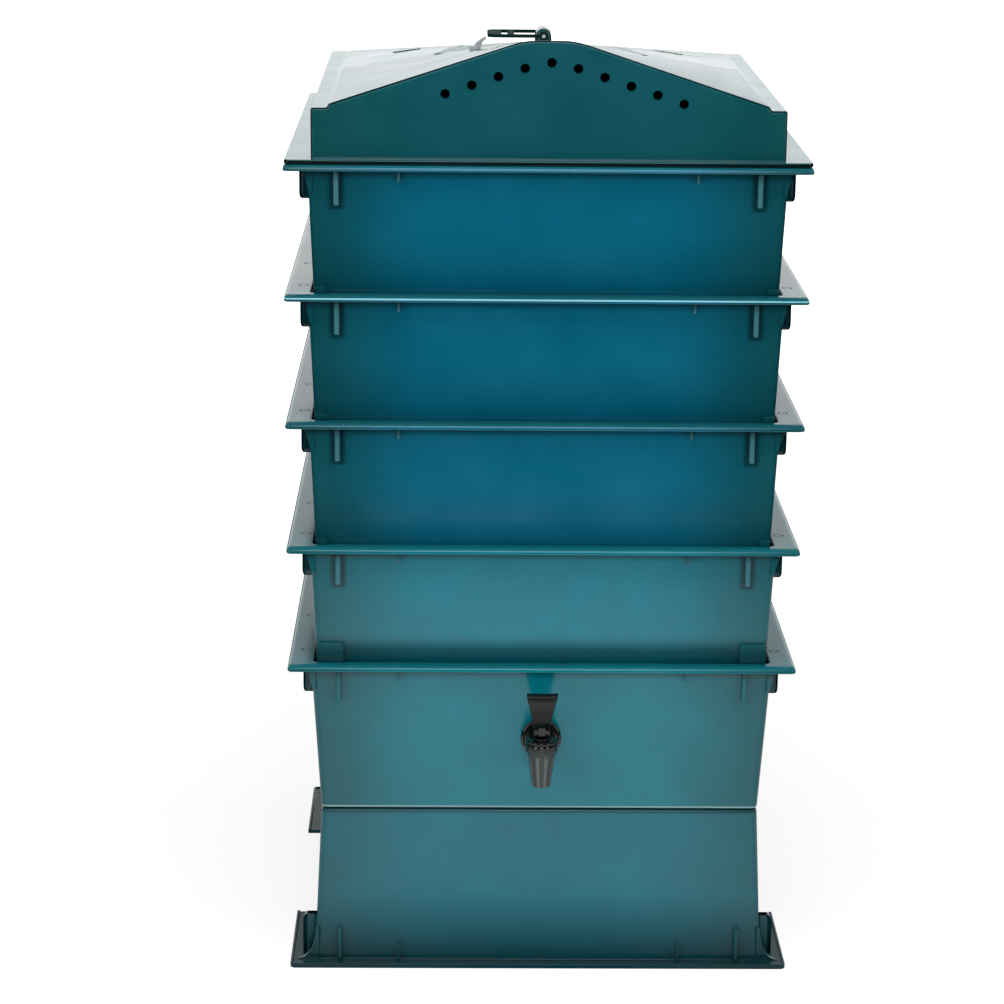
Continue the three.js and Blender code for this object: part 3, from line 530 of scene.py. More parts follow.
def rimmedBox(depth, angle, floor):
    # Its section runs from under its floor up the outside, round the rim and down the inside
    v = rimValues
    plate, wall, r, corner = v["plate"], v["wall"], v["wallCorner"], v["corner"]
    low, high, inner = -depth, floor - depth, r - wall
    lip, top = rimHalf - v["lipGauge"], rimHalf - v["topWidth"]
    footX, footY = wallHalves(low, angle)
    pitX, pitY = wallHalves(high, angle, wall)
    mouthX, mouthY = wallHalves(0, angle, wall)
    rootX, rootY = wallHalves(-plate, angle)
    inset = 3 * v["footEdge"]
    corners = [
        (footX - inset, footY - inset, r, low, 0), (footX, footY, r, low, v["footEdge"]),
        (rootX, rootY, r, -plate, v["rootEdge"]),
        (lip, lip, corner / 2, -plate, 0.8), (lip, lip, corner / 2, -v["lip"], 0.5),
        (rimHalf, rimHalf, corner, -v["lip"], v["lowEdge"]), (rimHalf, rimHalf, corner, 0, v["topEdge"]),
        (top, top, corner, 0, 0), (mouthX + 4, mouthY + 4, r, 0, 0),
        (mouthX, mouthY, inner, 0, v["mouthEdge"]), (pitX, pitY, inner, high, v["pitEdge"]),
        (pitX - inset, pitY - inset, inner, high, 0)]
    return sweep(rounded(corners, 6), rimKeys)


def ribTo(halfWidth, halfDepth, root, tip):
    # An upright rib with its tip rounded, down from a rim or up from a foot
    corner, length = halfWidth * 0.8, abs(tip - root)
    points, faces = sweep(rounded([
        (halfWidth / 2, halfDepth / 2, halfWidth / 2, 0, 0),
        (halfWidth, halfDepth, corner, 0, halfWidth), (halfWidth, halfDepth, corner, length, 0)]), blockKeys)
    if tip > root:
        points, faces = points * [1, 1, -1] + [0, 0, length], [face[::-1] for face in faces]
    return moved((points, faces), 0, 0, min(root, tip))


def frontRibs(face, root, outerTip, innerTip):
    # Four ribs each on the front and the rear wall
    v = ribValues
    half = (v["frontReach"] + v["sunk"]) / 2
    outer = ribTo(v["outerWidth"] / 2, half, root, outerTip)
    inner = ribTo(v["innerWidth"] / 2, half, root, innerTip)
    shells = []
    for x, y in quarters:
        for spacing, shell in ((v["outerSpacing"], outer), (v["innerSpacing"], inner)):
            shells.append(moved(shell, x * spacing / 2, y * (face - v["sunk"] + half)))
    return shells


def sideRibs(face, reach, sunk, root, tip):
    # Two ribs each on the left and the right wall
    v, half = ribValues, (reach + sunk) / 2
    shell = ribTo(half, v["outerWidth"] / 2, root, tip)
    return [moved(shell, x * (face - sunk + half), y * v["sideSpacing"] / 2) for x, y in quarters]


def wallWebs(outline, depth, gauge, edge):
    # A web at each corner, drawn for the right-hand side and flush with the front or rear wall
    shells = []
    for x, y in quarters:
        drawn = outline if x > 0 else (outline * [-1, 1])[::-1]
        near = y * depth - (gauge if y > 0 else 0)
        shells.append(frontPlate(drawn, near, near + gauge, edge))
    return together(shells)


def cornerWebs():
    # Thin webs from the wall's corner up to the side flange
    v, root = ribValues, -rimValues["plate"]
    side, front = wallHalves(0, 0)
    tip, reach, back = side - v["webTip"], side + v["webReach"], side - v["webRoot"]
    sag = curve((tip, -v["webLength"]), (side + v["webReach"] / 4, -v["webLength"] / 2), (reach, root), 6)
    outline = np.concatenate([sag, [(reach, root / 2), (back, root / 2), (back, -v["webLength"])]])
    return wallWebs(outline, front, v["webGauge"], 0.4)


def underRim():
    # What hangs under the rim of a tray or the collector
    v, root = ribValues, -rimValues["plate"] / 2
    side, front = wallHalves(0, 0)
    ribs = frontRibs(front, root, -v["outerLength"], -v["innerLength"])
    ribs += sideRibs(side, v["sideReach"], v["sunk"], root, -v["sideLength"])
    return [together(ribs), cornerWebs()]


def ringMarks():
    # Shallow ring grooves on top of the side flanges
    v = markValues
    mouth = wallHalves(0, 0, rimValues["wall"])[0]
    outer, inner, deep = v["radius"], v["radius"] - v["width"], v["depth"]
    mark = sweep([(outer, outer, outer, -deep), (outer, outer, outer, deep),
                  (inner, inner, inner, deep), (inner, inner, inner, -deep)], circleKeys(24), True)
    return together([moved(mark, x * (mouth + v["fromMouth"]), y) for x in (-1, 1) for y in v["places"]])


trayValues = {
    "depth": 115, "draft": 2.4, "floor": 2.4, "nest": 18, "firstNest": 21,
    "upperLug": (8, 4), "firstLug": (20, 15),      # width and height
    "lugInset": 1.5, "lugSunk": 3, "gap": 0.3,
    "holes": 6, "holeSize": 12, "holeMargin": 40, "holeCorner": 1.5,
}


def seatLugs(nest, lug):
    v = trayValues
    width, height = lug
    foot = v["gap"] - (v["depth"] - nest)
    seatX, seatY = wallHalves(nest - v["depth"], v["draft"])
    outer = seatX - v["lugInset"]
    shells = []
    for x, y in quarters:
        left, right = sorted((x * (outer - width), x * outer))
        near, far = sorted((y * (seatY - v["lugSunk"]), y * wallHalves(0, 0)[1]))
        shells.append(block((left, near, foot), (right, far, foot + height)))
    return together(shells)


def floorHoles():
    v = trayValues
    spanX, spanY = (half - v["holeMargin"] for half in wallHalves(-v["depth"], v["draft"]))
    half, r = v["holeSize"] / 2, v["holeCorner"]
    places = np.linspace(-1, 1, v["holes"])
    hole = sweep([(half, half, r, -v["depth"] - 2), (half, half, r, v["floor"] - v["depth"] + 2)], blockKeys)
    return together([moved(hole, x * spanX, y * spanY) for x in places for y in places])


def makeTray(name, nest, lug):
    v = trayValues
    shell = rimmedBox(v["depth"], v["draft"], v["floor"])
    piece = shaped("dressed_" + name, shell, underRim() + [seatLugs(nest, lug)], [floorHoles(), ringMarks()])
    dressed(piece, onStack(nodeBox(name)[1][2]), name, name + "_body")


makeTray("tray_4", trayValues["firstNest"], trayValues["firstLug"])
for trayName in ("tray_3", "tray_2", "tray_1"):
    makeTray(trayName, trayValues["nest"], trayValues["upperLug"])
print("trays made")


# Collector and stand

collectorValues = {
    "draft": 3.34, "floor": 3, "pegRadius": 6, "pegLength": 5, "pegInset": 34, "pegEdge": 1,
    "tapDrop": 60, "landRadius": 19, "landShown": 15.4, "landProud": 1.2, "holeRadius": 8.6,
}
standValues = {
    "draft": 2.64, "top": 2.8, "footPlate": 3, "footLip": 4, "footLength": 105, "inset": 8,
    "archHeight": 92, "archRadius": 40, "gussetHeight": 27, "gussetGauge": 3, "gussetRoot": 4,
    "outerRib": 31, "innerRib": 18, "sideRib": 36, "sideRibReach": 9.5, "sideRibSunk": 5,
}
collectorDepth = collectorTop - standHigh[2] - trayValues["gap"]


def pegPlaces():
    halfX, halfY = wallHalves(-collectorDepth, collectorValues["draft"])
    inset = collectorValues["pegInset"]
    return [(x * (halfX - inset), y * (halfY - inset)) for x, y in quarters]


def makeCollector():
    v = collectorValues
    radius, land, drop = v["pegRadius"], v["landShown"], v["tapDrop"]
    peg = lathe([(radius - 2, -v["pegLength"], 0), (radius, -v["pegLength"], v["pegEdge"]),
                 (radius, v["floor"] / 2, 0)], count=32)
    pegs = together([moved(peg, x, y, -collectorDepth) for x, y in pegPlaces()])
    front = wallHalves(v["landRadius"] - drop, v["draft"])[1] + v["landProud"]
    back = wallHalves(-drop - v["landRadius"], v["draft"], rimValues["wall"])[1] - v["landProud"]
    pad = lathe([(land - 4, -front, 0), (land, -front, 0.6), (land, -back, 0.6), (land - 4, -back, 0)], "y")
    hole = rod(v["holeRadius"], -front - 2, 2 - back, "y")
    shell = rimmedBox(collectorDepth, v["draft"], v["floor"])
    piece = shaped("dressed_collector", shell, underRim() + [pegs, moved(pad, 0, 0, -drop)],
                   [ringMarks(), moved(hole, 0, 0, -drop)])
    dressed(piece, onStack(collectorTop), "collector_tray", "collector_body")


def standHalves(z, gauge=0):
    halfX, halfY = wallHalves(-collectorDepth - trayValues["gap"], collectorValues["draft"])
    spread = (standHigh[2] - z) * math.tan(math.radians(standValues["draft"])) - gauge
    return halfX + spread, halfY + spread


def archCutter():
    v = standValues
    half, r = rimHalf - v["footLength"], v["archRadius"]
    turn = np.linspace(0, math.pi / 2, 17)
    right = np.stack([half - r + r * np.cos(turn), v["archHeight"] - r + r * np.sin(turn)], 1)
    outline = np.concatenate([[(half, -past)], right, (right * [-1, 1])[::-1], [(-half, -past)]])
    return plate(outline, -rimHalf - past, rimHalf + past, "x")


def footGussets():
    # Hollow-curved webs flush with the stand's front and rear walls, down to the ends of the foot flanges
    v, foot = standValues, standValues["footPlate"]
    root, depth = standHalves(0)
    back, reach = root - v["gussetRoot"], rimHalf - rimValues["lipGauge"]
    top = foot + v["gussetHeight"]
    sag = curve((reach, foot), (root, foot), (root - rimValues["wall"] / 2, top), 10)
    outline = np.concatenate([[(back, foot / 2), (reach, foot / 2)], sag, [(back, top)]])
    return wallWebs(outline, depth, v["gussetGauge"], 0.6)


def makeStand():
    v, r = standValues, rimValues
    top, foot, lift, inset = standHigh[2], v["footPlate"], v["footLip"], v["inset"]
    ceiling, lip = top - v["top"], rimHalf - r["lipGauge"]
    inner, outer, corner = r["wallCorner"] - r["wall"], r["wallCorner"], r["corner"]
    ceilX, ceilY = standHalves(ceiling, r["wall"])
    footX, footY = standHalves(0, r["wall"])
    rootX, rootY = standHalves(foot)
    topX, topY = standHalves(top)
    rows = rounded([
        (ceilX - inset, ceilY - inset, inner, ceiling, 0), (ceilX, ceilY, inner, ceiling, 2),
        (footX, footY, inner, 0, 1), (rimHalf, rimHalf, corner, 0, 0.7),
        (rimHalf, rimHalf, corner, lift, 0.8), (lip, lip, corner / 2, lift, 0.6),
        (lip, lip, corner / 2, foot, 0.4), (rootX, rootY, outer, foot, 1.2),
        (topX, topY, outer, top, 3), (topX - inset, topY - inset, outer, top, 0)])
    hole = rod(collectorValues["pegRadius"] + trayValues["gap"], top - past, top + past, count=32)
    holes = together([moved(hole, x, y) for x, y in pegPlaces()])
    side, front = standHalves(0)
    ribs = frontRibs(front, foot / 2, v["outerRib"], v["innerRib"])
    ribs += sideRibs(side, v["sideRibReach"], v["sideRibSunk"], foot / 2, v["sideRib"])
    adds = [together(ribs), footGussets()]
    piece = shaped("dressed_stand", sweep(rows, rimKeys), adds, [archCutter(), holes])
    dressed(piece, onStack(0), "stand", "stand_body")


makeCollector()
makeStand()
print("collector and stand made")


# Lid

lidValues = {
    "inset": 1, "plate": 3, "sideOverhang": 19.5, "frontOverhang": 7.5, "gauge": 2.4,
    "eave": 40, "strip": 12.5, "step": 3, "ridge": 37, "frontPeak": 90, "rearPeak": 48,
    "spigot": 9, "spigotGap": 1.6, "edge": 1.8, "innerEdge": 0.6, "ridgeEdge": 9, "rows": 28,
}
ventValues = {
    "radius": 3.15, "flare": 0.45, "count": 10, "left": 4, "pitch": 19.4, "offset": 1.3,
    "peak": 74, "fallShare": 0.33, "softness": 8,
}
barValues = {"width": 6, "height": 0.5, "sunk": 1.2, "flat": 1.6}
barShares = (((0.37, 0.88), (0.48, 0.24)), ((0.57, 0.86), (0.69, 0.74)))
lidHalfX = rimHalf - lidValues["inset"] - lidValues["sideOverhang"]
lidHalfY = rimHalf - lidValues["inset"] - lidValues["frontOverhang"]
lidFlange = nodeBox("tray_1")[1][2] + trayValues["gap"]     # the underside of the lid's flange


def ridgeHeight(y):
    v = lidValues
    return v["frontPeak"] + (v["rearPeak"] - v["frontPeak"]) * (y / (2 * lidHalfY) + 0.5)


def stepHeight(y):
    # The step between the eave strip and the slope dies out at the rear
    return lidValues["step"] * np.clip(0.5 - y / (2 * lidHalfY), 0.02, 1)


def roofHeight(x, y):
    v = lidValues
    foot, top = lidHalfX - v["strip"], v["ridge"] / 2
    share = np.clip((np.abs(x) - top) / (foot - top), 0, 1)
    return ridgeHeight(y) + (v["eave"] + stepHeight(y) - ridgeHeight(y)) * share


def roofOutline(y, inset, lift, foot):
    # Half outlines from the foot over the flat eave strip, its small step and the slope to the ridge
    v = lidValues
    half, ridge, edge = lidHalfX - inset, v["ridge"] / 2, v["edge"]
    strip, eave = half - v["strip"], v["eave"]
    right = [
        (half, foot, 0), (half, eave + lift, edge), (strip + 0.5, eave + lift, edge),
        (strip - 0.5, eave + stepHeight(y) + lift, edge), (ridge, ridgeHeight(y) + lift, v["ridgeEdge"])]
    left = [(-x, z, fillet) for x, z, fillet in right[::-1]]
    return rounded(right + left)


def house(inset, lift, foot, edge):
    # Outlines (x, z) carried along y, drawn in at the gables to round them
    half = lidHalfY - inset
    draws, rise = easing(edge, 4)
    body = np.linspace(-1, 1, lidValues["rows"] + 1)[1:-1] * (half - edge)
    places = np.concatenate([rise - half, body, (half - rise)[::-1]])
    draws = np.concatenate([draws, 0 * body, draws[::-1]])
    rings = []
    for y, draw in zip(places, draws):
        outline = roofOutline(y, inset + draw, lift - draw, foot)[::-1]
        rings.append(np.stack([outline[:, 0], 0 * outline[:, 0] + y, outline[:, 1]], 1))
    return skin(np.stack(rings))


def lidRing():
    # The flange, with the spigot that hangs into the tray's mouth
    v, r = lidValues, rimValues
    half, corner = rimHalf - v["inset"], r["corner"]
    outX, outY = wallHalves(0, 0, r["wall"] + v["spigotGap"])
    inX, inY = outX - r["wall"], outY - r["wall"]
    rows = rounded([
        (half, half, corner, 0, 0.6), (half, half, corner, v["plate"], 0.9),
        (inX, inY, 3, v["plate"], 0.8), (inX, inY, 3, -v["spigot"], 0.7),
        (outX, outY, 4, -v["spigot"], 0.7), (outX, outY, 4, 0, 0.8)])
    return sweep(rows, rimKeys, True)


def ventCutters():
    v = ventValues
    cutter = lathe([(v["radius"] + v["flare"] + 1, -lidHalfY - 1, 0),
                    (v["radius"], v["flare"] - lidHalfY, 0.3), (v["radius"], 6 - lidHalfY, 0)], "y", 32, 2)
    x = (np.arange(v["count"]) - v["left"]) * v["pitch"]
    z = v["peak"] - v["fallShare"] * (np.hypot(x, v["softness"]) - v["softness"])
    return together([moved(cutter, *place) for place in zip(x + v["offset"], 0 * x, z)])


def roofBars():
    # Rounded bars laid on the roof: a long capsule whose height is added to the roof's
    v = barValues
    wide, high = v["width"] / 2, v["height"]
    narrow = wide - v["flat"]
    shells = []
    for ends in barShares:
        for side in (-1, 1):
            start, end = np.array(ends) * [side * lidHalfX, lidHalfY]
            middle, run = (start + end) / 2, end - start
            length = np.hypot(*run)
            half = length / 2
            rows = rounded([(half, wide, wide, -v["sunk"], 0), (half, wide, wide, high, high),
                            (half - v["flat"], narrow, narrow, high, 0)])
            points, faces = sweep(rows, outlineKeys(6, 16))
            cos, sin = run / length
            x = middle[0] + points[:, 0] * cos - points[:, 1] * sin
            y = middle[1] + points[:, 0] * sin + points[:, 1] * cos
            shells.append((np.stack([x, y, points[:, 2] + roofHeight(x, y)], 1), faces))
    return together(shells)


def makeLid():
    v = lidValues
    outer = house(0, 0, v["plate"] / 2, v["edge"])
    hollow = house(v["gauge"], -v["gauge"], -v["spigot"], v["innerEdge"])
    screwLow, screwHigh = nodeBox("handle_screw")
    bore = rod((screwHigh - screwLow)[0] / 4, v["plate"], v["frontPeak"], count=24)
    shell = shapedShell("dressed_lid_shell", outer, [hollow])
    piece = shaped("dressed_lid", shell, [lidRing(), roofBars()], [ventCutters(), bore])
    dressed(piece, onStack(lidFlange), "lid", "lid_body")


makeLid()
print("lid made")


# Lift loop, its boss and the clip

pinMiddle = sum(nodeBox("handle_pin")) / 2
bossValues = {"width": 12.6, "length": 27, "height": 11.5, "edge": 3, "gap": 0.3}
loopValues = {
    "reach": 44, "tail": 3.4, "width": 40, "gauge": 2.4, "arm": 4, "corner": 7, "windowCorner": 1.5,
    "grip": 11, "window": 5, "divider": 5, "bore": 1.8, "edge": 0.5,
}
clipValues = {"foot": 9, "gauge": 2.2, "height": 10, "width": 9, "lean": 4, "distance": 49, "edge": 0.5}


def makeBoss():
    v = bossValues
    r, low, high = v["width"] / 2, ridgeHeight(0) - v["height"], ridgeHeight(0) + v["height"]
    turn = np.linspace(0, math.pi, 25)
    arch = np.stack([r * np.cos(turn), high - r + r * np.sin(turn)], 1)
    outline = np.concatenate([[(-r, low), (r, low)], arch])
    body = frontPlate(outline, -v["length"] / 2, v["length"] / 2, v["edge"], 6)
    pin = rod(loopValues["bore"], -v["length"], v["length"], "y", 24)
    piece = shaped("dressed_boss", body, (), [
        house(0, v["gap"], 0, lidValues["edge"]), moved(pin, 0, 0, pinMiddle[2] - lidFlange)])
    dressed(piece, onStack(lidFlange), "handle_boss", "lid_body")


def makeLoop():
    v = loopValues
    length, half, wide = (v["reach"] + v["tail"]) / 2, v["gauge"] / 2, v["width"] / 2
    outer = sweep([(length, wide, v["corner"], -half), (length, wide, v["corner"], half)], outlineKeys(8, 2))
    inner = wide - v["arm"]
    gripEnd = v["grip"] - v["reach"]
    windowEnd = gripEnd + v["window"]
    windows = []
    for near, far in ((gripEnd, windowEnd), (windowEnd + v["divider"], v["tail"] + 3)):
        rows = [((far - near) / 2, inner, v["windowCorner"], end) for end in (-past, past)]
        windows.append(moved(sweep(rows, blockKeys), (near + far) / 2))
    flat = shapedShell("loop_flat", moved(outer, (v["tail"] - v["reach"]) / 2), windows)
    ends = [sorted((side * (inner + 0.01), side * (wide - 0.01))) for side in (-1, 1)]
    eyes = [rod(v["tail"], low, high, "y", 32) for low, high in ends]
    bore = rod(v["bore"], -v["width"], v["width"], "y", 24)
    piece = shaped("dressed_loop", flat, [together(eyes)], [bore])
    soft = piece.modifiers.new("soft", "BEVEL")
    soft.width, soft.segments, soft.limit_method = v["edge"] * mm, 3, "ANGLE"
    soft.angle_limit = crease
    dressed(piece, pinMiddle, "handle_loop", "loop_body", loopGreen)


def makeClip():
    # A strip bent up from its foot, leaning back to the right at its tip
    v = clipValues
    foot, gauge, high, lean = v["foot"], v["gauge"], v["height"], v["lean"]
    front = curve((0, -high), (-gauge, high / 2), (lean, high - gauge), 8)
    back = curve((lean, high), (-gauge - lean, high / 2), (-foot / 2, gauge), 8)
    outline = np.concatenate([[(-foot, -high)], front, back, [(-foot, gauge)]])
    body = frontPlate(outline, -v["width"] / 2, v["width"] / 2, v["edge"])
    body = moved(body, -v["distance"], 0, float(roofHeight(v["distance"], 0)))
    piece = shaped("dressed_clip", body, (), [house(0, bossValues["gap"], 0, lidValues["edge"])])
    dressed(piece, onStack(lidFlange), "handle_clip", "lid_body", paleGrey)


makeBoss()
makeLoop()
makeClip()
print("lift loop made")


# Tap

tapValues = {
    "collar": 15.7, "collarGauge": 3, "barrel": 10, "shank": 8, "bore": 5,
    "chamber": 12.2, "chamberTop": 4, "band": 3, "spoutTop": 11, "spoutLength": 28, "spoutFoot": 7.2,
    "chamberBore": 7.8, "chamberFloor": 12, "seatGauge": 2.5, "seatBore": 4, "spoutBore": 5.4,
    "flutes": 9, "fluteDepth": 0.6,
}
gasketLow, gasketHigh = nodeBox("tap_outer_gasket")
barrelHeight = (gasketLow + gasketHigh)[2] / 2
collarBack = gasketLow[1] - trayValues["gap"]
bonnetLow, bonnetHigh = nodeBox("tap_bonnet")
chamberPlace = (bonnetLow + bonnetHigh) / 2           # its x and y are the tap's upright axis
leverPin = sum(nodeBox("tap_lever_pin")) / 2

tapFinishValues = {
    "colour": "#0b0d0e", "dust": "#2a2e2f", "scuffAndSheen": "#565b5c", "ior": 1.54,
    "roughness": (0.12, 0.2), "handledRoughness": 0.48, "handled": (6, 10),     # above the lever's pin
    "dustyRoughness": 0.3, "dusty": (1, -1.5),                  # about the barrel's middle
    "ridge": (-0.4, 1.0), "ridgeFrom": (-1, -5),                # below the chamber's band
    "cloudSize": 9, "grainSize": 0.9, "grainDepth": 0.006,
}


def mouldedAbs(name):
    # Injection-moulded ABS, glossy black: dulled by hands on the paddle, dusty below the chamber,
    # and pale grey along the ridges between the spout's flutes, partly scuffs and partly painted highlight
    v = tapFinishValues
    surface, tree, place = newSurface(name)
    spot = addNode(tree, "Mapping", {"Vector": place, "Location": tuple(-chamberPlace * mm)})
    x, y = addNode(tree, "SeparateXYZ", [spot]).outputs[:2]
    height = addNode(tree, "SeparateXYZ", [place]).outputs[2]
    handled = addNode(tree, "MapRange", [height, *fadeEnds(leverPin[2], v["handled"])])
    dusty = addNode(tree, "MapRange", [height, *fadeEnds(barrelHeight, v["dusty"])])
    # pale grey along the flute ridges: scuffs, and painted highlight for the pale streaks of light
    turn = addNode(tree, "Math", [x, y], operation="ARCTAN2")
    turns = addNode(tree, "Math", [turn, tapValues["flutes"]], operation="MULTIPLY")
    wave = addNode(tree, "Math", [turns], operation="COSINE")
    ridge = addNode(tree, "MapRange", [wave, *v["ridge"]], **smooth)
    onSpout = addNode(tree, "MapRange", [height, *fadeEnds(barrelHeight - tapValues["band"], v["ridgeFrom"])])
    ridgeScuffAndSheen = addNode(tree, "Math", [ridge, onSpout], operation="MULTIPLY")
    dusted = addNode(tree, "Mix", {0: dusty, 6: linear(v["colour"]), 7: linear(v["dust"])}, **colours)
    scuffedAndSheened = addNode(tree, "Mix", {0: ridgeScuffAndSheen, 6: dusted, 7: linear(v["scuffAndSheen"])}, **colours)
    cloud = addNode(tree, "TexNoise", {"Vector": place, "Scale": 1 / (v["cloudSize"] * mm), "Detail": 3})
    shade = addNode(tree, "MapRange", [cloud, *cloudSpread, *plainShade])
    gloss = addNode(tree, "MapRange", [cloud, *cloudSpread, *v["roughness"]])
    handledGloss = addNode(tree, "Mix", {0: handled, 2: gloss, 3: v["handledRoughness"]})
    return shown(surface, tree, place, v, {
        "Base Color": addNode(tree, "Mix", {0: 1, 6: scuffedAndSheened, 7: shade}, **shades),
        "Roughness": addNode(tree, "Mix", {0: dusty, 2: handledGloss, 3: v["dustyRoughness"]})})


tapBlack = mouldedAbs("moulded_black_abs")


def flutedChamber(spoutEnd):
    v = tapValues
    foot, top, band, wide, crown = (
        v[name] for name in ("spoutFoot", "spoutTop", "band", "chamber", "chamberTop"))
    points, faces = lathe([
        (foot - 1.2, spoutEnd, 0), (foot, spoutEnd, 0.6), (foot + 0.3, spoutEnd + 2.4, 0),
        (top - 0.3, -band - 2, 0), (top, -band, 0.4), (wide, -band, 0.5), (wide, crown - 1.5, 0.3),
        (wide - 0.8, crown, 0.3), (wide - 3, crown, 0)], count=96)
    rise = np.clip((points[:, 2] - spoutEnd) / v["spoutLength"], 0, 1)
    hollow = np.sin(math.pi * rise) ** 0.6 * (points[:, 2] < -band)
    turn = np.arctan2(points[:, 0], points[:, 1])
    scale = 1 - v["fluteDepth"] * hollow * (0.5 - 0.5 * np.cos(v["flutes"] * turn)) / top
    return points * np.stack([scale, scale, np.ones_like(scale)], 1), faces


def makeTapBody():
    v = tapValues
    collar, wide, shank, bore, crown = (
        v[name] for name in ("collar", "chamber", "shank", "bore", "chamberTop"))
    axis = chamberPlace[1]
    spoutEnd = -v["band"] - v["spoutLength"]
    shankEnd = nodeBox("tap_body")[1][1]
    front = collarBack - v["collarGauge"]
    disc = lathe([
        (v["barrel"], front, 0), (collar - 2.6, front, 0.5), (collar - 2, front - 0.8, 0.4),
        (collar, front - 0.4, 1.5), (collar, collarBack, 0.4), (shank, collarBack, 0)], "y")
    tail = lathe([(shank, front + 0.5, 0), (shank, shankEnd, 0.8), (bore + 1, shankEnd, 0)], "y")
    above = block((-wide - 1, axis - wide - 1, crown),
                  (wide + 1, axis + wide + 0.5, v["barrel"] + 3), 0.5, 0.4)
    barrel = shapedShell("barrel", rod(v["barrel"], axis, front + 0.6, "y"), [above])
    chamberBore = lathe([(v["chamberBore"], -v["chamberFloor"], 0.4), (v["chamberBore"], crown + 2, 0)])
    seat = rod(v["seatBore"], spoutEnd + 4, 0)
    spout = lathe([(v["spoutBore"] + 0.6, spoutEnd - 1, 0), (v["spoutBore"], spoutEnd + 1, 0),
                   (v["spoutBore"] - 0.4, -v["chamberFloor"] - v["seatGauge"], 0)])
    inlet = rod(bore, axis, shankEnd + 2, "y")
    cuts = [moved(shell, 0, axis) for shell in (chamberBore, seat, spout)] + [inlet]
    piece = shaped("dressed_tap_body", moved(flutedChamber(spoutEnd), 0, axis), [barrel, tail, disc], cuts)
    dressed(piece, (chamberPlace[0], 0, barrelHeight), "tap_body", "collector_body", tapBlack)


bonnetValues = {"plug": 1.2, "cap": 2.6, "hub": 5.6, "bore": 2.9, "gap": 0.3}


def makeBonnet():
    v = bonnetValues
    low, high = bonnetLow[2], bonnetHigh[2]
    seat, cap = low + v["plug"], low + v["plug"] + v["cap"]
    outer, plug = (bonnetHigh - bonnetLow)[0] / 2, tapValues["chamberBore"] - v["gap"]
    shell = lathe([
        (v["bore"], low, 0), (plug, low, 0.3), (plug, seat, 0), (outer, seat, 0.5), (outer, cap, 1),
        (v["hub"], cap, 0.3), (v["hub"] - 0.2, high, 0.4), (v["bore"], high, 0)], count=64)
    piece = shaped("dressed_bonnet", shell, (), [rod(v["bore"], low - 2, high + 2)])
    place = (chamberPlace[0], chamberPlace[1], 0)
    dressed(piece, place, "tap_bonnet", "collector_body", tapBlack)


leverValues = {
    "hub": 4.6, "cheek": 3.4, "stemWidth": 5, "gap": 0.3, "top": 31, "waist": 14.5, "tip": 24,
    "horn": 1.2, "dish": 0.7, "dishFrom": 20, "pin": 1.7,
}


def makeLever():
    # A lofted paddle: each row is (half width, half gauge, corner, height, shift x, shift y, fillet)
    v = leverValues
    gap = v["stemWidth"] / 2 + v["gap"]
    fork, waist, tip = gap + v["cheek"], v["waist"] / 2, v["tip"] / 2
    corners = [
        (fork - 0.8, 2.2, 0.6, -v["hub"], 0, 0, 0), (fork, v["hub"] - 0.8, 0.8, -v["hub"] + 0.6, 0, 0, 0.8),
        (fork, v["hub"], 0.8, 0, 0, 0, 2), (fork, v["hub"] - 0.6, 0.8, 4, 0, -0.2, 1.5),
        (waist, 2.9, 1, 8, 0, -0.5, 2), (waist + 1.2, 2.3, 1.1, 14, 0, 0, 3),
        (waist + 3, 2, 1.1, 21, 0, -0.2, 3), (tip - 0.7, 2.6, 1.1, 26.5, 0, -1.6, 2),
        (tip, 3.6, 1.1, 29.6, 0, -3.6, 0.8), (tip - 0.4, 3.4, 1, v["top"], 0, -3.8, 0.6),
        (tip - 1.4, 2.4, 0.8, v["top"], 0, -3.8, 0)]
    points, faces = sweep(rounded(corners), outlineKeys(3, 12))
    across = np.clip(np.abs(points[:, 0]) / tip, 0, 1)
    sag = np.clip((points[:, 2] - v["dishFrom"]) / (v["top"] - v["dishFrom"]), 0, 1) * (1 - across ** 2)
    points[:, 2] -= v["horn"] * sag
    faceFront = (points[:, 1] < -1.5) & (points[:, 2] > 10)
    points[:, 1] += np.where(faceFront, v["dish"] * sag, 0)
    slot = block((-gap, -12, -v["hub"] - 3), (gap, 12, 5), 0.3, 0.3)
    piece = shaped("dressed_lever", (points, faces), (), [slot, rod(v["pin"], -12, 12, "x", 24)])
    dressed(piece, leverPin, "tap_lever", "tap_lever_body", tapBlack)


makeTapBody()
makeBonnet()
makeLever()
carriedSurfaces = {
    "worm_ladder": teals["collector_tray"], "handle_pin": plainSteel, "handle_screw": plainSteel,
    "tap_stem": tapBlack, "tap_nut": tapBlack, "tap_lever_pin": plainSteel,
    "tap_seat_cup": sealRubber, "tap_outer_gasket": sealRubber, "tap_inner_gasket": sealRubber,
}
for nodeName, surface in carriedSurfaces.items():
    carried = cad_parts[nodeName]
    carried.data.materials.clear()
    carried.data.materials.append(surface)
print("tap made")


# Floor, light and camera

studioValues = {
    "floorSize": 60000, "floorWhite": 0.3, "bounceWhite": 0.7, "glow": (0.76, 1.5), "glowReach": (0.5, 2.6),
    "nearFoot": (0.17, 0.4), "dark": (0.95, 1.1), "sideFade": (0.12, 0.32), "sideLeft": 0.65,
    "worldLight": 0.32, "behind": (-0.25, 0.3), "backWhite": 1.4, "horizon": (0.15, 0.38), "aboveDark": 0.3,
}


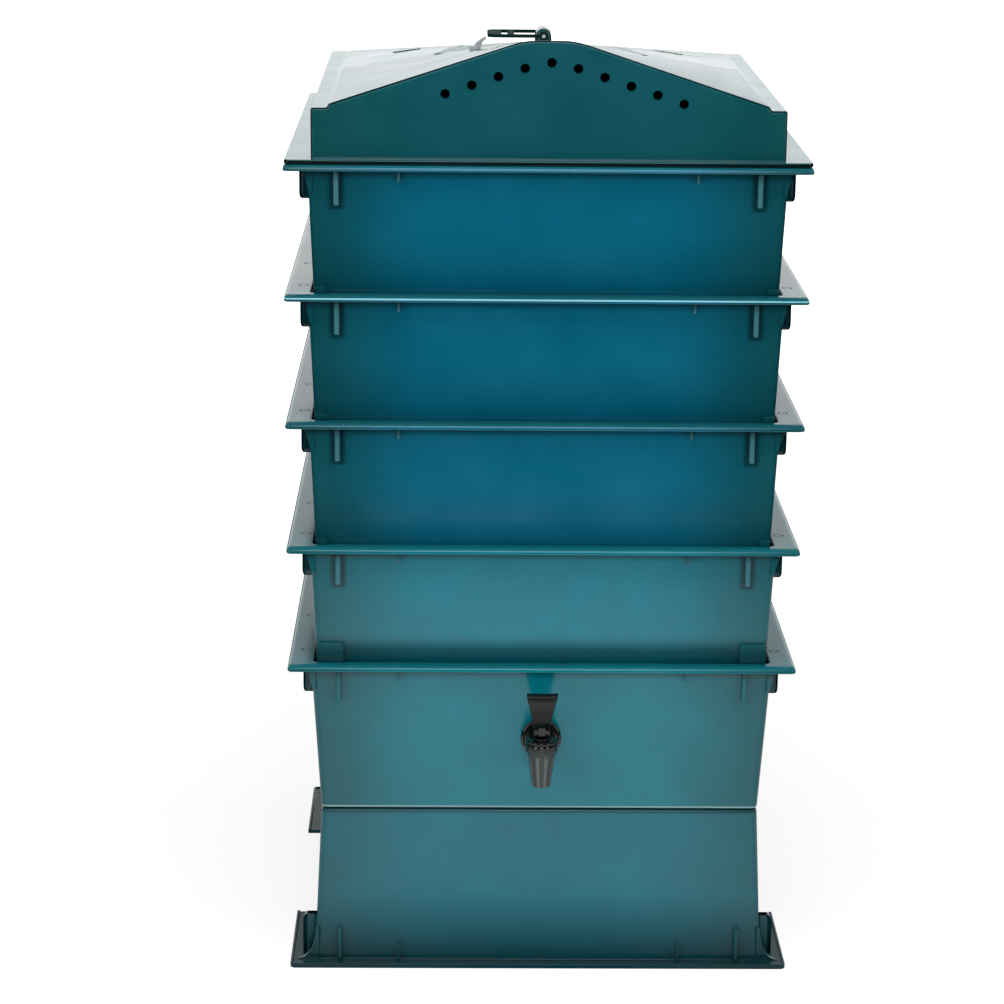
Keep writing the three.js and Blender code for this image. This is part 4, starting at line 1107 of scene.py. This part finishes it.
def makeFloor():
    # Plain white, seen a little brighter than lit so that it joins the white behind it;
    # what mirrors it sees it end some way in front of the object, as a table would
    v = studioValues
    half = v["floorSize"] / 2
    corners = np.array([(-half, -half, 0), (half, -half, 0), (half, half, 0), (-half, half, 0)])
    floor = shellObject("floor", (corners, [(0, 1, 2, 3)]))
    surface, tree, place = newSurface("plain_white_floor")
    rays = addNode(tree, "LightPath").outputs
    reach = addNode(tree, "VectorMath", [place], operation="LENGTH")
    across = addNode(tree, "SeparateXYZ", [place]).outputs[0]
    aside = addNode(tree, "Math", [across], operation="ABSOLUTE")
    mirrored = addNode(tree, "MapRange", [reach, *v["dark"], 1, 0])
    # what mirrors the floor sees painted shade near the object's foot and towards the sides
    for other in (addNode(tree, "MapRange", [reach, *v["nearFoot"]]),
                  addNode(tree, "MapRange", [aside, *v["sideFade"], 1, v["sideLeft"]], **smooth)):
        mirrored = addNode(tree, "Math", [mirrored, other], operation="MULTIPLY")
    notGlossy = addNode(tree, "Math", [1, rays["Is Glossy Ray"]], operation="SUBTRACT")
    bright = addNode(tree, "Math", [mirrored, notGlossy], operation="MAXIMUM")
    direct = addNode(tree, "Math", [rays["Is Camera Ray"], rays["Is Glossy Ray"]], operation="MAXIMUM")
    white = addNode(tree, "MapRange", [direct, 0, 1, v["bounceWhite"], v["floorWhite"]])
    glow = addNode(tree, "MapRange", [reach, *v["glowReach"], *v["glow"]], **smooth)
    for other in (direct, bright):
        glow = addNode(tree, "Math", [glow, other], operation="MULTIPLY")
    albedo = addNode(tree, "Math", [white, bright], operation="MULTIPLY")
    matt = addNode(tree, "BsdfDiffuse", {"Color": albedo})
    both = addNode(tree, "AddShader", [matt, addNode(tree, "Emission", {"Strength": glow})])
    addNode(tree, "OutputMaterial", {"Surface": both})
    floor.data.materials.append(surface)


def makeWorld():
    # White for the camera. What mirrors the room sees it white behind and beside, and dark in front
    v = studioValues
    world = bpy.data.worlds.new("studio")
    bpy.context.scene.world = world
    world.use_nodes = True
    tree = world.node_tree
    tree.nodes.clear()
    rays = addNode(tree, "LightPath").outputs
    aim = addNode(tree, "SeparateXYZ", [addNode(tree, "TexCoord").outputs["Generated"]]).outputs
    behind = addNode(tree, "MapRange", [aim[1], *v["behind"], 0, v["backWhite"]], **smooth)
    above = addNode(tree, "MapRange", [aim[2], *v["horizon"], 1, v["aboveDark"]])
    mirrored = addNode(tree, "Math", [behind, above], operation="MULTIPLY")
    ambient = addNode(tree, "Mix", {0: rays["Is Glossy Ray"], 2: v["worldLight"], 3: mirrored})
    clear = addNode(tree, "Math", [rays["Is Camera Ray"], rays["Is Transmission Ray"]], operation="MAXIMUM")
    strength = addNode(tree, "Mix", {0: clear, 2: ambient, 3: 1})
    back = addNode(tree, "Background", {"Color": (1, 1, 1, 1), "Strength": strength})
    addNode(tree, "OutputWorld", {"Surface": back})
    world.cycles.sampling_method = "NONE"     # so that every ray sees the light meant for it


lampValues = {
    "key": {"place": (-1.9, -2.0, 1.2), "size": (0.6, 2.0), "power": 17, "mirrored": True},
    "fill": {"place": (1.9, -2.0, 1.2), "size": (0.6, 2.0), "power": 12, "mirrored": True},
    "front": {"place": (0, -2.4, 1.3), "size": (0.8, 1.1), "power": 9, "mirrored": True},
    "top": {"place": (0.05, -0.5, 2.45), "size": (1.7, 1.7), "power": 48, "mirrored": False},
}


def makeLamps():
    target = Vector((0, 0, (cadBox[0][2] + cadBox[1][2]) / 2))
    for name, v in lampValues.items():
        lamp = bpy.data.lights.new(name, "AREA")
        lamp.shape, lamp.energy = "RECTANGLE", v["power"]
        lamp.size, lamp.size_y = v["size"]
        holder = addObject(name, lamp)
        holder.location = v["place"]
        holder.rotation_euler = (target - holder.location).to_track_quat("-Z", "Y").to_euler()
        holder.visible_glossy = v["mirrored"]


cameraValues = {
    "place": (-67.4, -2296.7, 955.5), "lens": 104.32, "pitch": 15.2053, "yaw": 0.9595, "roll": 0.5698,
}


def makeCamera():
    v = cameraValues
    data = bpy.data.cameras.new("camera")
    data.sensor_width, data.lens, data.clip_end = 36, v["lens"], 100
    camera = addObject("camera", data)
    camera.matrix_world = Matrix.Translation(Vector(v["place"]) * mm)
    for angle, axis in ((-v["yaw"], "Z"), (90 - v["pitch"], "X"), (v["roll"], "Z")):
        camera.matrix_world = camera.matrix_world @ Matrix.Rotation(math.radians(angle), 4, axis)
    bpy.context.scene.camera = camera


makeFloor()
makeWorld()
makeLamps()
makeCamera()
bpy.context.scene.view_settings.view_transform = "Standard"
print("studio made")
